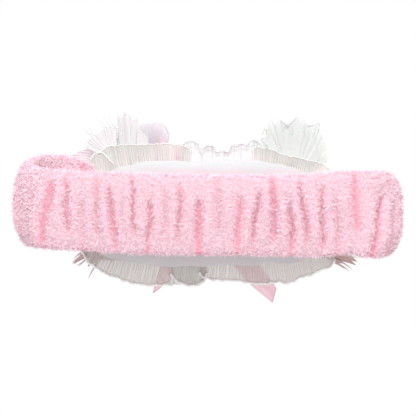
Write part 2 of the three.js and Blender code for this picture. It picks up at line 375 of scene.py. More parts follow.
def satin(name, colour, deep):
    """Satin ribbon: a smooth gloss stretched across very fine threads."""
    nodes = Nodes.of_material(name)
    stretched = nodes.add("ShaderNodeMapping", {"Vector": nodes.place(), "Scale": (1.0, 1.0, 9.0)})
    threads = nodes.noise(900, detail=1.0, vector=stretched.outputs[0])
    tone = nodes.mix(nodes.noise(70, detail=2.0), deep, colour)
    tone = nodes.mix(nodes.maths("MULTIPLY", threads, 0.35), tone, deep)
    bump = nodes.bump(threads, 0.12, 0.0003)
    return nodes.finish(glow=0.35, Base_Color=tone, Roughness=0.36, Normal=bump, Sheen_Weight=0.4,
                        Sheen_Roughness=0.3, Specular_IOR_Level=0.5, Anisotropic=0.4)


def net(name, colour, thread_alpha, hole_alpha, cells):
    """Tulle or lace ground: threads round small holes, cells to the metre."""
    nodes = Nodes.of_material(name)
    edge = nodes.add("ShaderNodeTexVoronoi", {"Vector": nodes.place(), "Scale": cells},
                     feature="DISTANCE_TO_EDGE").outputs["Distance"]
    hole = nodes.add("ShaderNodeMapRange", {"Value": edge, "From Min": 0.04, "From Max": 0.16,
                                            "To Min": thread_alpha, "To Max": hole_alpha})
    tone = nodes.mix(nodes.noise(45, detail=3.0), darker(colour, 0.9), colour)
    return nodes.finish(Base_Color=tone, Roughness=0.7, Alpha=hole.outputs["Result"],
                        Sheen_Weight=0.2, Specular_IOR_Level=0.2)


def thread_material(name, colour):
    """Matte yarn with a fine twist."""
    nodes = Nodes.of_material(name)
    twist = nodes.noise(1800, detail=1.0)
    tone = nodes.mix(twist, darker(colour, 0.85), colour)
    return nodes.finish(Base_Color=tone, Roughness=0.7, Specular_IOR_Level=0.2,
                        Normal=nodes.bump(twist, 0.3, 0.0003))


ORGANZA_THREAD = 0.0004
TULLE_CELLS = 1100

# the fleece's first two colours are painted shade, for its gathers and for the roots of its pile
PINK_FLEECE = fleece("pink_fleece", shade(1.0, 0.51, 0.63), shade(1.0, 0.735, 0.815),
                     shade(0.985, 0.80, 0.865), shade(0.99, 0.875, 0.925))
# the lining's last colour is its painted pink light from the strap
WHITE_FLANNEL = flannel("white_flannel", shade(0.615, 0.63, 0.64), shade(0.60, 0.60, 0.61),
                        painted_pink_light=shade(0.70, 0.51, 0.56))
WADDING = flannel("wadding", shade(0.88, 0.86, 0.83), shade(0.75, 0.73, 0.7))
WHITE_FELT = flannel("white_felt", shade(0.87, 0.85, 0.84), shade(0.76, 0.74, 0.72))
ELASTIC_WEB = woven("elastic_web", shade(0.86, 0.85, 0.82), shade(0.7, 0.69, 0.66), 0.0012)
ORGANZA = woven("cream_organza", shade(0.76, 0.73, 0.69), shade(0.70, 0.665, 0.625), ORGANZA_THREAD,
                alpha=0.55, roughness=0.5, folded_alpha=0.92)
# painted light: a lighter copy of the cream organza; it keeps the doubled turn of the lower left frill
# from darkening in its own shade, and the upper frills, which catch more light, wear it too
ORGANZA_PAINTED_LIGHT = woven("cream_organza_painted_light", shade(0.76, 0.765, 0.725), shade(0.73, 0.73, 0.69),
                      ORGANZA_THREAD, alpha=0.55, roughness=0.5, folded_alpha=0.97)
PALE_ORGANZA = woven("pale_organza", shade(0.86, 0.75, 0.79), shade(0.82, 0.69, 0.74), ORGANZA_THREAD,
                     alpha=0.86, roughness=0.45, folded_alpha=0.96)
PINK_ORGANZA = woven("pink_organza", shade(0.97, 0.66, 0.78), shade(0.95, 0.58, 0.72), ORGANZA_THREAD,
                     alpha=0.4, roughness=0.45)
WHITE_RIBBON = woven("white_ribbon", shade(0.90, 0.89, 0.90), shade(0.82, 0.81, 0.83), 0.0005,
                     alpha=0.92, roughness=0.4)
PINK_SATIN = satin("pink_satin", shade(0.98, 0.74, 0.81), shade(0.92, 0.60, 0.69))
PALE_SATIN = satin("pale_satin", shade(0.79, 0.775, 0.80), shade(0.80, 0.73, 0.785))
LACE_NET = net("lace_net", shade(0.81, 0.82, 0.82), 0.99, 0.94, 900)
TULLE = net("white_tulle", shade(0.84, 0.84, 0.84), 0.80, 0.62, TULLE_CELLS)
TULLE_LAYERS = net("white_tulle_layers", shade(0.74, 0.78, 0.76), 0.97, 0.90, TULLE_CELLS)
TULLE_LAYERS_LEFT = net("white_tulle_layers_left", shade(0.77, 0.76, 0.765), 0.98, 0.93, TULLE_CELLS)
# painted shade: a pinkish-brown copy of the white tulle, standing for shade and the strap's pink
# reflection on the lower rosettes
TULLE_PAINTED_SHADE = net("white_tulle_painted_shade", shade(0.80, 0.60, 0.59), 0.97, 0.9, TULLE_CELLS)
ROLLED_HEM = thread_material("white_rolled_hem", shade(1.0, 1.0, 0.99))
CREAM_HEM = thread_material("cream_rolled_hem", shade(0.97, 0.97, 0.95))
PINK_EDGE = thread_material("pink_ribbon_edge", shade(0.98, 0.74, 0.83))
LACE_CORD = thread_material("lace_cord", shade(0.86, 0.87, 0.88))
TULLE_THREAD = thread_material("tulle_thread", shade(0.86, 0.86, 0.85))
# painted shade: the same pinkish-brown copy of the tulle thread
TULLE_THREAD_PAINTED_SHADE = thread_material("tulle_thread_painted_shade", shade(0.80, 0.62, 0.62))

# ---- the strap -------------------------------------------------------------

PILE = 1.8  # how far the pile stands off its backing
STRAP_THICKNESS = 12.0
STRAP_HALF_HEIGHT = 26.0
DEEPEST_GATHER = 2.7
END_RADIUS = SLEEVE_HIGH[1] - STRAP_THICKNESS / 2
STRAIGHT_HALF = SLEEVE_HIGH[0] - SLEEVE_HIGH[1]
BEND = math.pi * END_RADIUS
FRONT_RUN = 17.0
LOOP_HALF = STRAIGHT_HALF + BEND + FRONT_RUN

# the strap's lower and upper edge, by distance along its middle line from the
# middle of the back run (negative to the left)
STRAP_EDGES = (
    (-192, -20, 31.5), (-175, -19, 39.3), (-155, -19.5, 39.2), (-134, -20, 35.4), (-118, -20.5, 31.8),
    (-93, -21.5, 29.8), (-64, -23.6, 28.4), (-22, -25.2, 27.2), (0, -25.2, 26.6), (34, -25.4, 26.4),
    (67, -26.6, 27.4), (80, -25.6, 29.2), (87, -23.6, 29.6), (98, -26.8, 29.4), (110, -27.4, 29),
    (134, -25, 27), (150, -26, 27.5), (175, -26, 28), (192, -26, 27),
)
# gathers across the back run: where each crosses the upper and lower edge, how
# deep it is, and half its width
BACK_GATHERS = (
    (-97.0, -106.0, 4.6, 2.0), (-91.0, -87.0, 2.4, 1.8), (-80.0, -79.0, 1.6, 2.0),
    (-71.0, -70.5, 2.0, 1.8), (-62.5, -58.5, 4.4, 1.6), (-53.5, -54.0, 1.4, 1.6),
    (-48.0, -47.0, 3.2, 1.4), (-36.0, -38.0, 3.2, 1.5), (-27.5, -27.0, 1.4, 1.6),
    (-18.5, -18.5, 2.4, 1.6), (-6.0, -6.2, 4.2, 1.9), (6.0, 7.5, 1.4, 2.0),
    (19.0, 19.5, 2.4, 2.4), (33.0, 27.5, 3.4, 1.6), (40.0, 42.5, 4.8, 1.7),
    (50.5, 53.0, 3.6, 1.5), (57.0, 64.0, 3.4, 1.4), (71.2, 72.2, 3.2, 1.4),
    (81.5, 80.5, 1.6, 1.8), (92.5, 92.8, 2.2, 2.6), (111.0, 103.5, 3.8, 1.9),
)


def strap_centre(distance):
    """The strap's middle line: x, y and the direction away from the head."""
    side = np.sign(distance)
    reach = np.abs(distance)
    angle = np.clip((reach - STRAIGHT_HALF) / END_RADIUS, 0, math.pi)
    front = np.maximum(reach - STRAIGHT_HALF - BEND, 0)
    x = side * (np.minimum(reach, STRAIGHT_HALF) + END_RADIUS * np.sin(angle) - front)
    return x, -END_RADIUS * np.cos(angle), side * np.sin(angle), -np.cos(angle)


def all_gathers():
    """The back run's gathers and seeded ones round the ends, by loop distance."""
    rng = np.random.default_rng(11)
    gathers = list(BACK_GATHERS)
    for side in (-1, 1):
        place = STRAIGHT_HALF + (30 if side < 0 else 24)
        while place < LOOP_HALF - 4:
            lean = rng.uniform(-3, 3)
            gathers.append((side * place + lean, side * place - lean, rng.uniform(1.8, 4.2),
                            rng.uniform(1.5, 2.2)))
            place += rng.uniform(8, 13)
    return gathers


def gather_depth(distance, height):
    """How far the gathers sink the cloth at a loop distance and a height of -1 to 1."""
    depth = np.zeros(np.broadcast(distance, height).shape)
    for number, (upper, lower, deep, width) in enumerate(all_gathers()):
        middle = (upper + lower) / 2 + (upper - lower) / 2 * height
        middle = middle + 0.9 * wobble(height * 3.0 + number, 40 + number)
        centre = 0.35 * math.sin(number * 2.4) - 0.1
        fade = 1 - 0.9 * smoothstep(0.5, 1.0, np.abs(height - centre))
        offset = np.abs(distance - middle)
        wide = 1.2 * width
        groove = np.exp(-((offset / wide) ** 2)) - 0.3 * np.exp(-(((offset - 2.4 * wide) / 2.8) ** 2))
        depth = depth + 1.2 * deep * fade * groove
    return np.minimum(depth, DEEPEST_GATHER)


def strap_section(count, squareness=3.4):
    """Fractions outwards and upwards, evenly spaced round the strap's section."""
    turn = np.linspace(0, 2 * math.pi, 721)
    outwards, upwards = squared(np.cos(turn), squareness), squared(np.sin(turn), squareness)
    reach = travelled(np.stack([outwards * STRAP_THICKNESS / 2, upwards * STRAP_HALF_HEIGHT], axis=1))
    at = np.linspace(0, reach[-1], count, endpoint=False)
    return np.interp(at, reach, outwards), np.interp(at, reach, upwards)


def strap_surface(distances, around):
    """Points of the strap's cloth as a grid, with how deep each lies in a gather."""
    edges = np.array(STRAP_EDGES, float)
    low = np.interp(distances, edges[:, 0], edges[:, 1])
    high = np.interp(distances, edges[:, 0], edges[:, 2])
    blur = np.hanning(19)
    blur /= blur.sum()
    low, high = (np.convolve(np.pad(edge, 9, mode="edge"), blur, mode="valid") for edge in (low, high))
    outwards, upwards = strap_section(around)
    x, y, out_x, out_y = (value[:, None] for value in strap_centre(distances))
    flatten = 1 - 0.62 * smoothstep(LOOP_HALF - FRONT_RUN, LOOP_HALF, np.abs(distances))[:, None]
    half_thickness = (STRAP_THICKNESS / 2 - PILE) * flatten
    half_height = (high - low)[:, None] / 2 - PILE
    depth = gather_depth(distances[:, None], upwards)
    facing = np.abs(outwards) ** 2
    # the side against the head gathers less than the outer side
    held = np.where(outwards > 0, 1.0, 0.3)
    sink = depth * (0.35 + 0.65 * facing) * flatten * held
    outward = outwards * half_thickness - np.sign(outwards) * sink * facing
    # the ends lean in towards their upper and lower edges
    outward = outward - 3.2 * np.abs(out_x) * np.abs(upwards) ** 3.5
    rise = upwards * (half_height - sink * (1 - facing) * 0.6)
    height = (high + low)[:, None] / 2 + rise
    points = np.stack([x + out_x * outward, y + out_y * outward, height], axis=-1)
    return points, smoothstep(0.5, 3.3, depth)


def surface_normals(points):
    """Outward normals of a grid that wraps round in its second direction."""
    along = np.gradient(points, axis=0)
    around = np.roll(points, -1, axis=1) - np.roll(points, 1, axis=1)
    return normalised(np.cross(along, around))


BLADE_STEPS = 3  # quads in one blade of pile


def tuft_mesh(name, roots, normals, valleys, length, blades, seed, thickness=1.0):
    """A piece of curled blades of pile, a clump of them at each root."""
    rng = np.random.default_rng(seed)
    count = len(roots) * blades
    clump = np.repeat(rng.normal(0, 1, (len(roots), 3)), blades, axis=0)
    roots = np.repeat(roots, blades, axis=0) + rng.normal(0, 0.45, (count, 3))
    normals = np.repeat(normals, blades, axis=0)
    valleys = np.repeat(valleys, blades)
    lean = normalised(np.cross(normals, clump + rng.normal(0, 1.1, (count, 3))))
    across = np.cross(normals, lean)
    reach = length * rng.uniform(0.65, 1.2, count) * (1 - 0.55 * valleys)
    tilt = rng.uniform(0.2, 0.95, count)
    curl = rng.uniform(0.25, 0.7, count)
    width = rng.uniform(0.17, 0.30, count) * thickness
    twist = rng.uniform(-0.3, 0.3, count)
    place = roots.copy()
    rows, pile = [], []
    for row in range(BLADE_STEPS + 1):
        share = row / BLADE_STEPS
        half = (width * (1.0 - 0.65 * share**2))[:, None]
        turn = (twist * row)[:, None]
        direction = np.cos(turn) * across + np.sin(turn) * normals
        rows.append(np.stack([place - half * direction, place + half * direction], axis=1))
        pile.append(np.full((count, 2), share))
        angle = (tilt + curl * row)[:, None]
        place = place + (reach / BLADE_STEPS)[:, None] * (np.cos(angle) * normals + np.sin(angle) * lean)
    points = np.stack(rows, axis=1).reshape(-1, 3)
    corners = 2 * (BLADE_STEPS + 1)
    base = np.arange(count)[:, None, None] * corners
    step = np.arange(BLADE_STEPS)[None, :, None] * 2
    faces = (base + step + np.array([0, 2, 3, 1])).reshape(-1, 4)
    # each point's height along its blade and its depth in a gather, from which the fleece paints shade
    shades = ("pile", np.stack(pile, axis=1)), ("gather_shade", np.repeat(valleys, corners))
    return mesh_object(name, points, faces, PINK_FLEECE, attributes=shades)


def grid_roots(points, normals, valleys, spacing, seed):
    """Jittered places about spacing apart on a wrapped grid surface."""
    rng = np.random.default_rng(seed)
    rows, columns = points.shape[:2]
    ring = points[rows // 2]
    length, girth = travelled(points[:, 0])[-1], travelled(np.vstack([ring, ring[:1]]))[-1]
    down, across = int(length / spacing), int(girth / spacing)
    row = np.repeat(np.arange(down), across) + rng.uniform(-0.5, 0.5, down * across)
    column = np.tile(np.arange(across), down) + rng.uniform(-0.5, 0.5, down * across)
    row = np.clip(row / down * (rows - 1), 0, rows - 1.001)
    column = (column / across * columns) % columns
    r, c = row.astype(int), column.astype(int) % columns
    fr, fc = (row - r)[:, None], (column - np.floor(column))[:, None]
    following = (c + 1) % columns

    def blend(field):
        near = field[r, c] * (1 - fc) + field[r, following] * fc
        far = field[r + 1, c] * (1 - fc) + field[r + 1, following] * fc
        return near * (1 - fr) + far * fr

    return blend(points), normalised(blend(normals)), blend(valleys[..., None])[:, 0]


def stretch_with_strap(piece):
    """Bakes the piece's placement into its points."""
    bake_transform(piece)


def make_strap():
    """The plush sleeve: its closed cloth, its pile in eight pieces, and its wisps."""
    points, valleys = strap_surface(np.linspace(-LOOP_HALF, LOOP_HALF, 330), 84)
    rows, columns = points.shape[:2]
    middles = np.stack([points[0].mean(axis=0), points[-1].mean(axis=0)])
    caps = []
    for end, middle in ((0, rows * columns), ((rows - 1) * columns, rows * columns + 1)):
        for column in range(0, columns, 2):
            ring = [end + (column + step) % columns for step in range(3)]
            caps.append([middle] + (ring[::-1] if end == 0 else ring))
    faces = np.vstack([grid_faces(rows, columns, wrap=True), caps])[:, ::-1]
    # the cloth under the pile wears the roots' painted shade and a little of the gathers' painted shade
    gather_shade = np.concatenate([valleys.ravel(), [0, 0]])
    cloth = mesh_object("strap_cloth", np.vstack([points.reshape(-1, 3), middles]), faces, PINK_FLEECE,
                        attributes=(("pile", np.zeros(len(gather_shade))), ("gather_shade", 0.3 * gather_shade)))
    normals = surface_normals(points)
    roots, lifts, deep = grid_roots(points, normals, valleys, spacing=1.5, seed=3)
    pieces = [cloth]
    for number, chosen in enumerate(np.array_split(np.arange(len(roots)), 8)):
        pieces.append(tuft_mesh(f"strap_pile_{number + 1}", roots[chosen], lifts[chosen], deep[chosen],
                                length=2.2, blades=6, seed=20 + number))
    # a few longer hairs stand out past the rest
    roots, lifts, deep = grid_roots(points, normals, valleys, spacing=3.4, seed=4)
    pieces.append(tuft_mesh("strap_pile_wisps", roots, lifts, deep, length=3.9, blades=2, seed=25,
                            thickness=0.6))
    for piece in pieces:
        stretch_with_strap(piece)
    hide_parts("strap_sleeve")


def make_elastic():
    """The flat web inside the sleeve, ribbed along its rubber threads."""
    distances = np.linspace(-LOOP_HALF + 3, LOOP_HALF - 3, 220)
    x, y, out_x, out_y = (value[:, None] for value in strap_centre(distances))
    edges = np.array(STRAP_EDGES, float)
    middle = np.interp(distances, edges[:, 0], edges[:, 1:].mean(axis=1))[:, None]
    ribs = 24
    height = np.concatenate([np.linspace(-19, 19, ribs), np.linspace(19, -19, ribs)])
    ridge = 0.15 * np.cos(np.arange(2 * ribs) * math.pi)
    outward = np.concatenate([np.full(ribs, -2.1), np.full(ribs, -1.2)]) + ridge
    points = np.stack([x + out_x * outward, y + out_y * outward, middle + height], axis=-1)
    web = grid_mesh("elastic_web", points, ELASTIC_WEB, wrap=True)
    stretch_with_strap(web)
    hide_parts("strap_elastic")


make_strap()
make_elastic()

# ---- sheets of cloth ---------------------------------------------------------


def carried(piece, body, slot, *nodes):
    """Fixes a piece to a body and hides any CAD nodes that it replaces; its slot is not used."""
    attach(piece, body)
    if nodes:
        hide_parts(*nodes)


def lay_cloth(cloth, trimmings, slot, nodes, drop, body="front"):
    """Fixes a sheet and the trimmings on it to a body, and hides the CAD nodes that it replaces.

    drop is not used.
    """
    carried(cloth, body, slot, *nodes)
    for piece in trimmings:
        carried(piece, body, slot)
    drop = drop * MM


# ---- the padded panel --------------------------------------------------------

PANEL_HALF_WIDTH = LINING_HIGH[0]
PANEL_CENTRE_Z = (LINING_LOW[2] + LINING_HIGH[2]) / 2
PANEL_HALF_HEIGHT = (LINING_HIGH[2] - LINING_LOW[2]) / 2
PANEL_BACK, PANEL_FRONT = LINING_LOW[1], COVER_HIGH[1]
PANEL_SEAM_Y = 26.0
PANEL_CLOTH_DROP = 76.0  # the height that the lining and the cover are cut to
PANEL_MIDDLE = np.array([0.0, PANEL_SEAM_Y, PANEL_CENTRE_Z])
# the outline that the pad is sewn to, above and below its middle
PANEL_TOP_EDGE = ((-83, 8), (-77, 19), (-69, 26), (-58, 32.6), (-45, 34.7), (-5.6, 35.7), (35, 35.2),
                  (53.5, 32.4), (66, 27), (74, 20.5), (83, 8))
PANEL_LOW_EDGE = ((-83, -9), (-77, -22.5), (-68, -30), (-58, -33.4), (-37, -35.6), (-22, -36),
                  (-5.6, -35.2), (14, -34.8), (47, -34.4), (60, -33.4), (68, -30), (77, -21), (83, -9))


def panel_slab(half_width, half_height, back, front, sides=96, squareness=3.6):
    """A flat oval slab, the shape that the pad is cut to before it is stuffed."""
    turn = full_turn(sides)
    x = squared(np.cos(turn), squareness) * half_width
    z = squared(np.sin(turn), squareness) * half_height + PANEL_CENTRE_Z
    points = np.vstack([np.stack([x, np.full(sides, y), z], axis=1) for y in (back, front)])
    faces = [(i, (i + 1) % sides, sides + (i + 1) % sides, sides + i) for i in range(sides)]
    faces += [tuple(range(sides - 1, -1, -1)), tuple(range(sides, 2 * sides))]
    return mesh_object("panel_slab", points, faces, WADDING)


def mesh_points(piece):
    values = np.empty(len(piece.data.vertices) * 3)
    piece.data.vertices.foreach_get("co", values)
    return values.reshape(-1, 3) / MM


def set_points(piece, points):
    piece.data.vertices.foreach_set("co", (points * MM).ravel())
    piece.data.update()


def apply_modifiers(piece):
    graph = bpy.context.evaluated_depsgraph_get()
    mesh = bpy.data.meshes.new_from_object(piece.evaluated_get(graph))
    piece.modifiers.clear()
    old = piece.data
    piece.data = mesh
    bpy.data.meshes.remove(old)


STUFFING_FRAMES = 20


def stuff(slab, voxel, pressure, cap):
    """Inflates a slab as sewn cloth; no point moves further than cap millimetres."""
    remesh = slab.modifiers.new("remesh", "REMESH")
    remesh.mode = "VOXEL"
    remesh.voxel_size = voxel * MM
    apply_modifiers(slab)
    start = mesh_points(slab)
    cloth = slab.modifiers.new("cloth", "CLOTH")
    cloth.settings.use_pressure = True
    cloth.settings.uniform_pressure_force = pressure
    cloth.settings.effector_weights.gravity = 0
    cloth.settings.quality = 5
    cloth.point_cache.frame_start = 1
    cloth.point_cache.frame_end = STUFFING_FRAMES
    for number in range(STUFFING_FRAMES):
        bpy.context.scene.frame_set(number + 1)
    apply_modifiers(slab)
    bpy.context.scene.frame_set(1)
    moved = mesh_points(slab) - start
    length = np.linalg.norm(moved, axis=1, keepdims=True)
    moved *= np.minimum(1, cap / np.maximum(length, 1e-9))
    return start + moved


def pillow_profile(points, thin):
    """How thick the pad is at each point, from thin at its seam to 1 in its middle."""
    x = np.abs(points[:, 0]) / PANEL_HALF_WIDTH
    z = np.abs(points[:, 2] - PANEL_CENTRE_Z) / PANEL_HALF_HEIGHT
    edge = np.clip(1 - (x**3 + z**3) ** (1 / 3), 0, 1)
    return thin + (1 - thin) * np.sqrt(1 - (1 - np.clip(edge / 0.42, 0, 1)) ** 2)


def panel_half(pad, keep_front, name, material, slot, node):
    """The cloth over one half of the pad: in front of its seam, or behind it."""
    half = bpy.data.objects.new(name, pad.data.copy())
    bpy.context.scene.collection.objects.link(half)
    shape = bmesh.new()
    shape.from_mesh(half.data)
    everything = shape.verts[:] + shape.edges[:] + shape.faces[:]
    bmesh.ops.bisect_plane(shape, geom=everything, plane_co=(0, PANEL_SEAM_Y * MM, 0),
                           plane_no=(0, 1, 0), clear_outer=not keep_front, clear_inner=keep_front)
    shape.to_mesh(half.data)
    shape.free()
    dress(half.data, material)
    lay_cloth(half, [], slot, [node], PANEL_CLOTH_DROP)
    return half


def let_out(points):
    """Moves the pad's points up and down until its edges follow the sewn outline."""
    slots = np.linspace(-PANEL_HALF_WIDTH, PANEL_HALF_WIDTH, 37)
    nearest = np.abs(points[:, :1] - slots[None]).argmin(axis=1)
    for side, edge in ((1, PANEL_TOP_EDGE), (-1, PANEL_LOW_EDGE)):
        edge = np.array(edge, float)
        height = side * (points[:, 2] - PANEL_CENTRE_Z)
        reach = np.array([height[nearest == slot].max(initial=1.0) for slot in range(len(slots))])
        wanted = side * (np.interp(slots, edge[:, 0], edge[:, 1]) - PANEL_CENTRE_Z)
        ratio = np.clip(wanted / reach, 0.8, 1.4)
        scale = np.interp(points[:, 0], slots, ratio)
        points[:, 2] = np.where(height > 0, PANEL_CENTRE_Z + side * height * scale, points[:, 2])


def make_panel():
    """The stuffed pad: white lining against the forehead, plush cover in front."""
    slab = panel_slab(PANEL_HALF_WIDTH - 3, PANEL_HALF_HEIGHT - 3, 21.5, 31.5)
    points = stuff(slab, voxel=3.5, pressure=4, cap=4.5)
    # stuffing draws the outline in, so it is let out to its size again
    for axis, size in ((0, PANEL_HALF_WIDTH), (2, PANEL_HALF_HEIGHT)):
        offset = points[:, axis] - PANEL_MIDDLE[axis]
        points[:, axis] = PANEL_MIDDLE[axis] + offset * size / np.abs(offset).max()
    let_out(points)
    thick = pillow_profile(points, 0.22)
    reach = np.where(points[:, 1] < PANEL_SEAM_Y, PANEL_SEAM_Y - PANEL_BACK,
                     PANEL_FRONT - PILE - PANEL_SEAM_Y)
    share = np.clip((points[:, 1] - PANEL_SEAM_Y) / np.maximum(reach, 1), -1, 1)
    points[:, 1] = PANEL_SEAM_Y + share * thick * reach
    # sewing pulls small dents into the long edges
    x, z = points[:, 0], points[:, 2] - PANEL_CENTRE_Z
    rim = smoothstep(0.62, 1.0, np.abs(z) / PANEL_HALF_HEIGHT)
    points[:, 2] -= np.sign(z) * rim * 0.9 * (wobble(x / 5.2, 61) + 0.6 * wobble(x / 2.1, 62))
    points[:, 2] -= np.sign(z) * rim * np.where(z > 0, 1.6 * np.exp(-(((x + 6) / 5) ** 2)), 0)
    set_points(slab, points)
    smooth = slab.modifiers.new("smooth", "SMOOTH")
    smooth.factor, smooth.iterations = 0.5, 4
    divide = slab.modifiers.new("divide", "SUBSURF")
    divide.levels = divide.render_levels = 1
    apply_modifiers(slab)
    lining = panel_half(slab, False, "panel_lining_cloth", WHITE_FLANNEL, "white_flannel", "panel_lining")
    # painted pink light: the strap's pink reflection and shade tint the lining from just above the strap
    # downwards, fainter below it
    spots = mesh_points(lining)
    patchy = 0.75 + 0.25 * wobble(spots[:, 0] / 8, 64)
    painted_pink_light = patchy * (0.75 * smoothstep(32, 25, spots[:, 2]) - 0.45 * smoothstep(-20, -27, spots[:, 2]))
    # painted shade, in the same pink, in the sewn dent near the middle of the top
    dent_shade = np.exp(-(((spots[:, 0] + 5.5) / 2.2) ** 2) - ((spots[:, 2] - 27.5) / 2.2) ** 2)
    paint(lining.data, "painted_pink_light", np.clip(painted_pink_light + 0.4 * dent_shade, 0, 1))
    cover = panel_half(slab, True, "panel_cover_cloth", PINK_FLEECE, "pink_fleece", "panel_cover")
    core = mesh_points(slab)
    set_points(slab, PANEL_MIDDLE + (core - PANEL_MIDDLE) * np.array([0.95, 0.84, 0.94]))
    slab.name = "panel_padding_core"
    carried(slab, "front", "wadding", "panel_padding")
    return cover


def triangle_roots(piece, spacing, seed, keep):
    """Jittered places and normals over a piece's faces that keep() accepts."""
    rng = np.random.default_rng(seed)
    mesh = piece.data
    mesh.calc_loop_triangles()
    corners = np.empty(len(mesh.loop_triangles) * 3, np.int32)
    mesh.loop_triangles.foreach_get("vertices", corners)
    corners = mesh_points(piece)[corners.reshape(-1, 3)]
    cross = np.cross(corners[:, 1] - corners[:, 0], corners[:, 2] - corners[:, 0])
    area = np.linalg.norm(cross, axis=1) / 2
    chosen = rng.choice(len(area), int(area.sum() / spacing**2), p=area / area.sum())
    u, v = rng.uniform(0, 1, (2, len(chosen)))
    flip = u + v > 1
    u, v = np.where(flip, 1 - u, u)[:, None], np.where(flip, 1 - v, v)[:, None]
    corner = corners[chosen]
    places = corner[:, 0] * (1 - u - v) + corner[:, 1] * u + corner[:, 2] * v
    kept = keep(places)
    return places[kept], normalised(cross[chosen])[kept]


STRAP_HIDES_FROM_X = 66  # how far out the strap starts to hide the panel's seam from behind


def clear_of_seam(places):
    """Which places are far enough from the seam; at the hidden ends they may be nearer."""
    clear = np.where(np.abs(places[:, 0]) > STRAP_HIDES_FROM_X, 0.8, 5.0)
    return places[:, 1] > PANEL_SEAM_Y + clear


def make_cover_pile(cover):
    places, normals = triangle_roots(cover, spacing=1.15, seed=31, keep=clear_of_seam)
    for number, chosen in enumerate(np.array_split(np.argsort(places[:, 0]), 3)):
        plush = tuft_mesh(f"panel_cover_pile_{number + 1}", places[chosen], normals[chosen],
                          np.zeros(len(chosen)), length=1.9, blades=5, seed=32 + number)
        carried(plush, "front", "pink_fleece")


# ---- ruffles -------------------------------------------------------------------


def pleated_strip(seam, hem, depth_y, pitch, deep, bulge, seed, rows=22, per_pleat=8, fray=0.0,
                  crown=1.2, seam_y=None):
    """A knife-pleated frill from its seam line to its hem line, as a grid of points,
    with how much each point lies in a doubled fold, thinned towards the hem as painted light.

    seam and hem are smooth lines of (x, z); the frill hangs in the plane
    y = depth_y, its pleats deepening from the seam to the hem.
    """
    rng = np.random.default_rng(seed)
    pleats = max(4, int(travelled(smooth_curve(hem, 60))[-1] / pitch))
    columns = pleats * per_pleat + 1
    top, bottom = smooth_curve(seam, columns), smooth_curve(hem, columns)
    place = np.linspace(0, pleats, columns)
    place = place + 0.32 * wobble(place * 0.9, seed) + 0.2 * wobble(place * 2.3, seed + 1)
    phase = place % 1.0
    # each pleat rises slowly and tucks back fast
    saw = np.where(phase < 0.72, phase / 0.72, (1 - phase) / 0.28) * 2 - 1
    strength = 0.72 + 0.30 * rng.uniform(-1, 1, pleats + 3)[np.floor(place).astype(int) % (pleats + 3)]
    v = np.linspace(0, 1, rows)[:, None]
    amplitude = deep * (0.35 + 0.65 * v)
    flat = top * (1 - v[..., None]) + bottom * v[..., None]
    drop = normalised(bottom - top)
    sideways = np.stack([drop[:, 1], -drop[:, 0]], axis=1)
    slide = (0.45 * amplitude * strength * np.sin(2 * math.pi * phase))[..., None]
    flat = flat + slide * sideways
    wave = bulge * v**1.5 * (wobble(place * 0.42, seed + 2) + 0.5 * wobble(place * 0.9, seed + 3))
    curl = 0.018 * wobble(place * 1.3, seed + 4) + 0.010 * wobble(place * 3.1, seed + 5)
    fall = 1 + v**2 * (curl + fray * rng.uniform(-1, 1, columns))
    flat = top + (flat - top) * fall[..., None]
    y = depth_y + amplitude * strength * saw + wave + crown * np.sin(math.pi * v)
    if seam_y is not None:
        y = y + (seam_y - depth_y) * (1 - v) ** 3
    fold = np.clip(0.8 + 0.7 * np.cos(2 * math.pi * (phase - 0.8)) * strength, 0, 1)
    # painted light: the doubled cloth is drawn thinner towards the hem, so more of the white behind shows
    # through and the hem side looks lit
    return standing(flat, y), (fold * (1 - 0.5 * v**4)).ravel()


FORWARDS = np.array([0.0, 1.0, 0.0])


def twisted_cord(path, radius=0.5, lay=2.2):
    """Three strands laid round each other along a path, as one list of parts."""
    reach = travelled(path)
    places = np.linspace(0, reach[-1], int(reach[-1] * 4) + 2)
    line = np.stack([np.interp(places, reach, column) for column in path.T], axis=1)
    across = normalised(np.cross(normalised(np.gradient(line, axis=0)), FORWARDS))
    parts = []
    for number in range(3):
        turn = (2 * math.pi * (places / lay + number / 3))[:, None]
        offset = radius * (np.cos(turn) * FORWARDS + np.sin(turn) * across)
        parts.append(tube(line + offset, radius * 0.95))
    return parts


def make_frill(name, seam, hem, depth_y, node=None, pitch=1.8, deep=0.38, bulge=1.1, seed=1,
               hem_radius=0.85, material=ORGANZA, hem_material=ROLLED_HEM, sewn_y=None):
    """A length of pleated organza with a rolled hem and a cord over its seam."""
    points, fold = pleated_strip(seam, hem, depth_y, pitch, deep, bulge, seed, seam_y=sewn_y or SEWN_Y)
    cloth = grid_mesh(name, points, material, attributes=(("fold", fold),))
    # the hem rolls backwards over the cloth's edge
    edge = smoothed(points[-1], 15)[::3] - 0.8 * hem_radius * FORWARDS
    roll = tube(edge, hem_radius * (1 + 0.2 * wobble(np.arange(len(edge)) * 0.9, seed + 7)), 8)
    hem_piece = mesh_object(name + "_hem", *roll, hem_material)
    sides = [tube(points[:, column], 0.18) for column in (0, -1)]
    cord = twisted_cord(smoothed(points[0], 15)[::3] + 0.7 * FORWARDS)
    seam_piece = joined_mesh(name + "_edges", cord + sides, ROLLED_HEM)
    drop = travelled(points[:, points.shape[1] // 2])[-1]
    lay_cloth(cloth, [hem_piece, seam_piece], "cream_organza", [node] if node else [], drop)


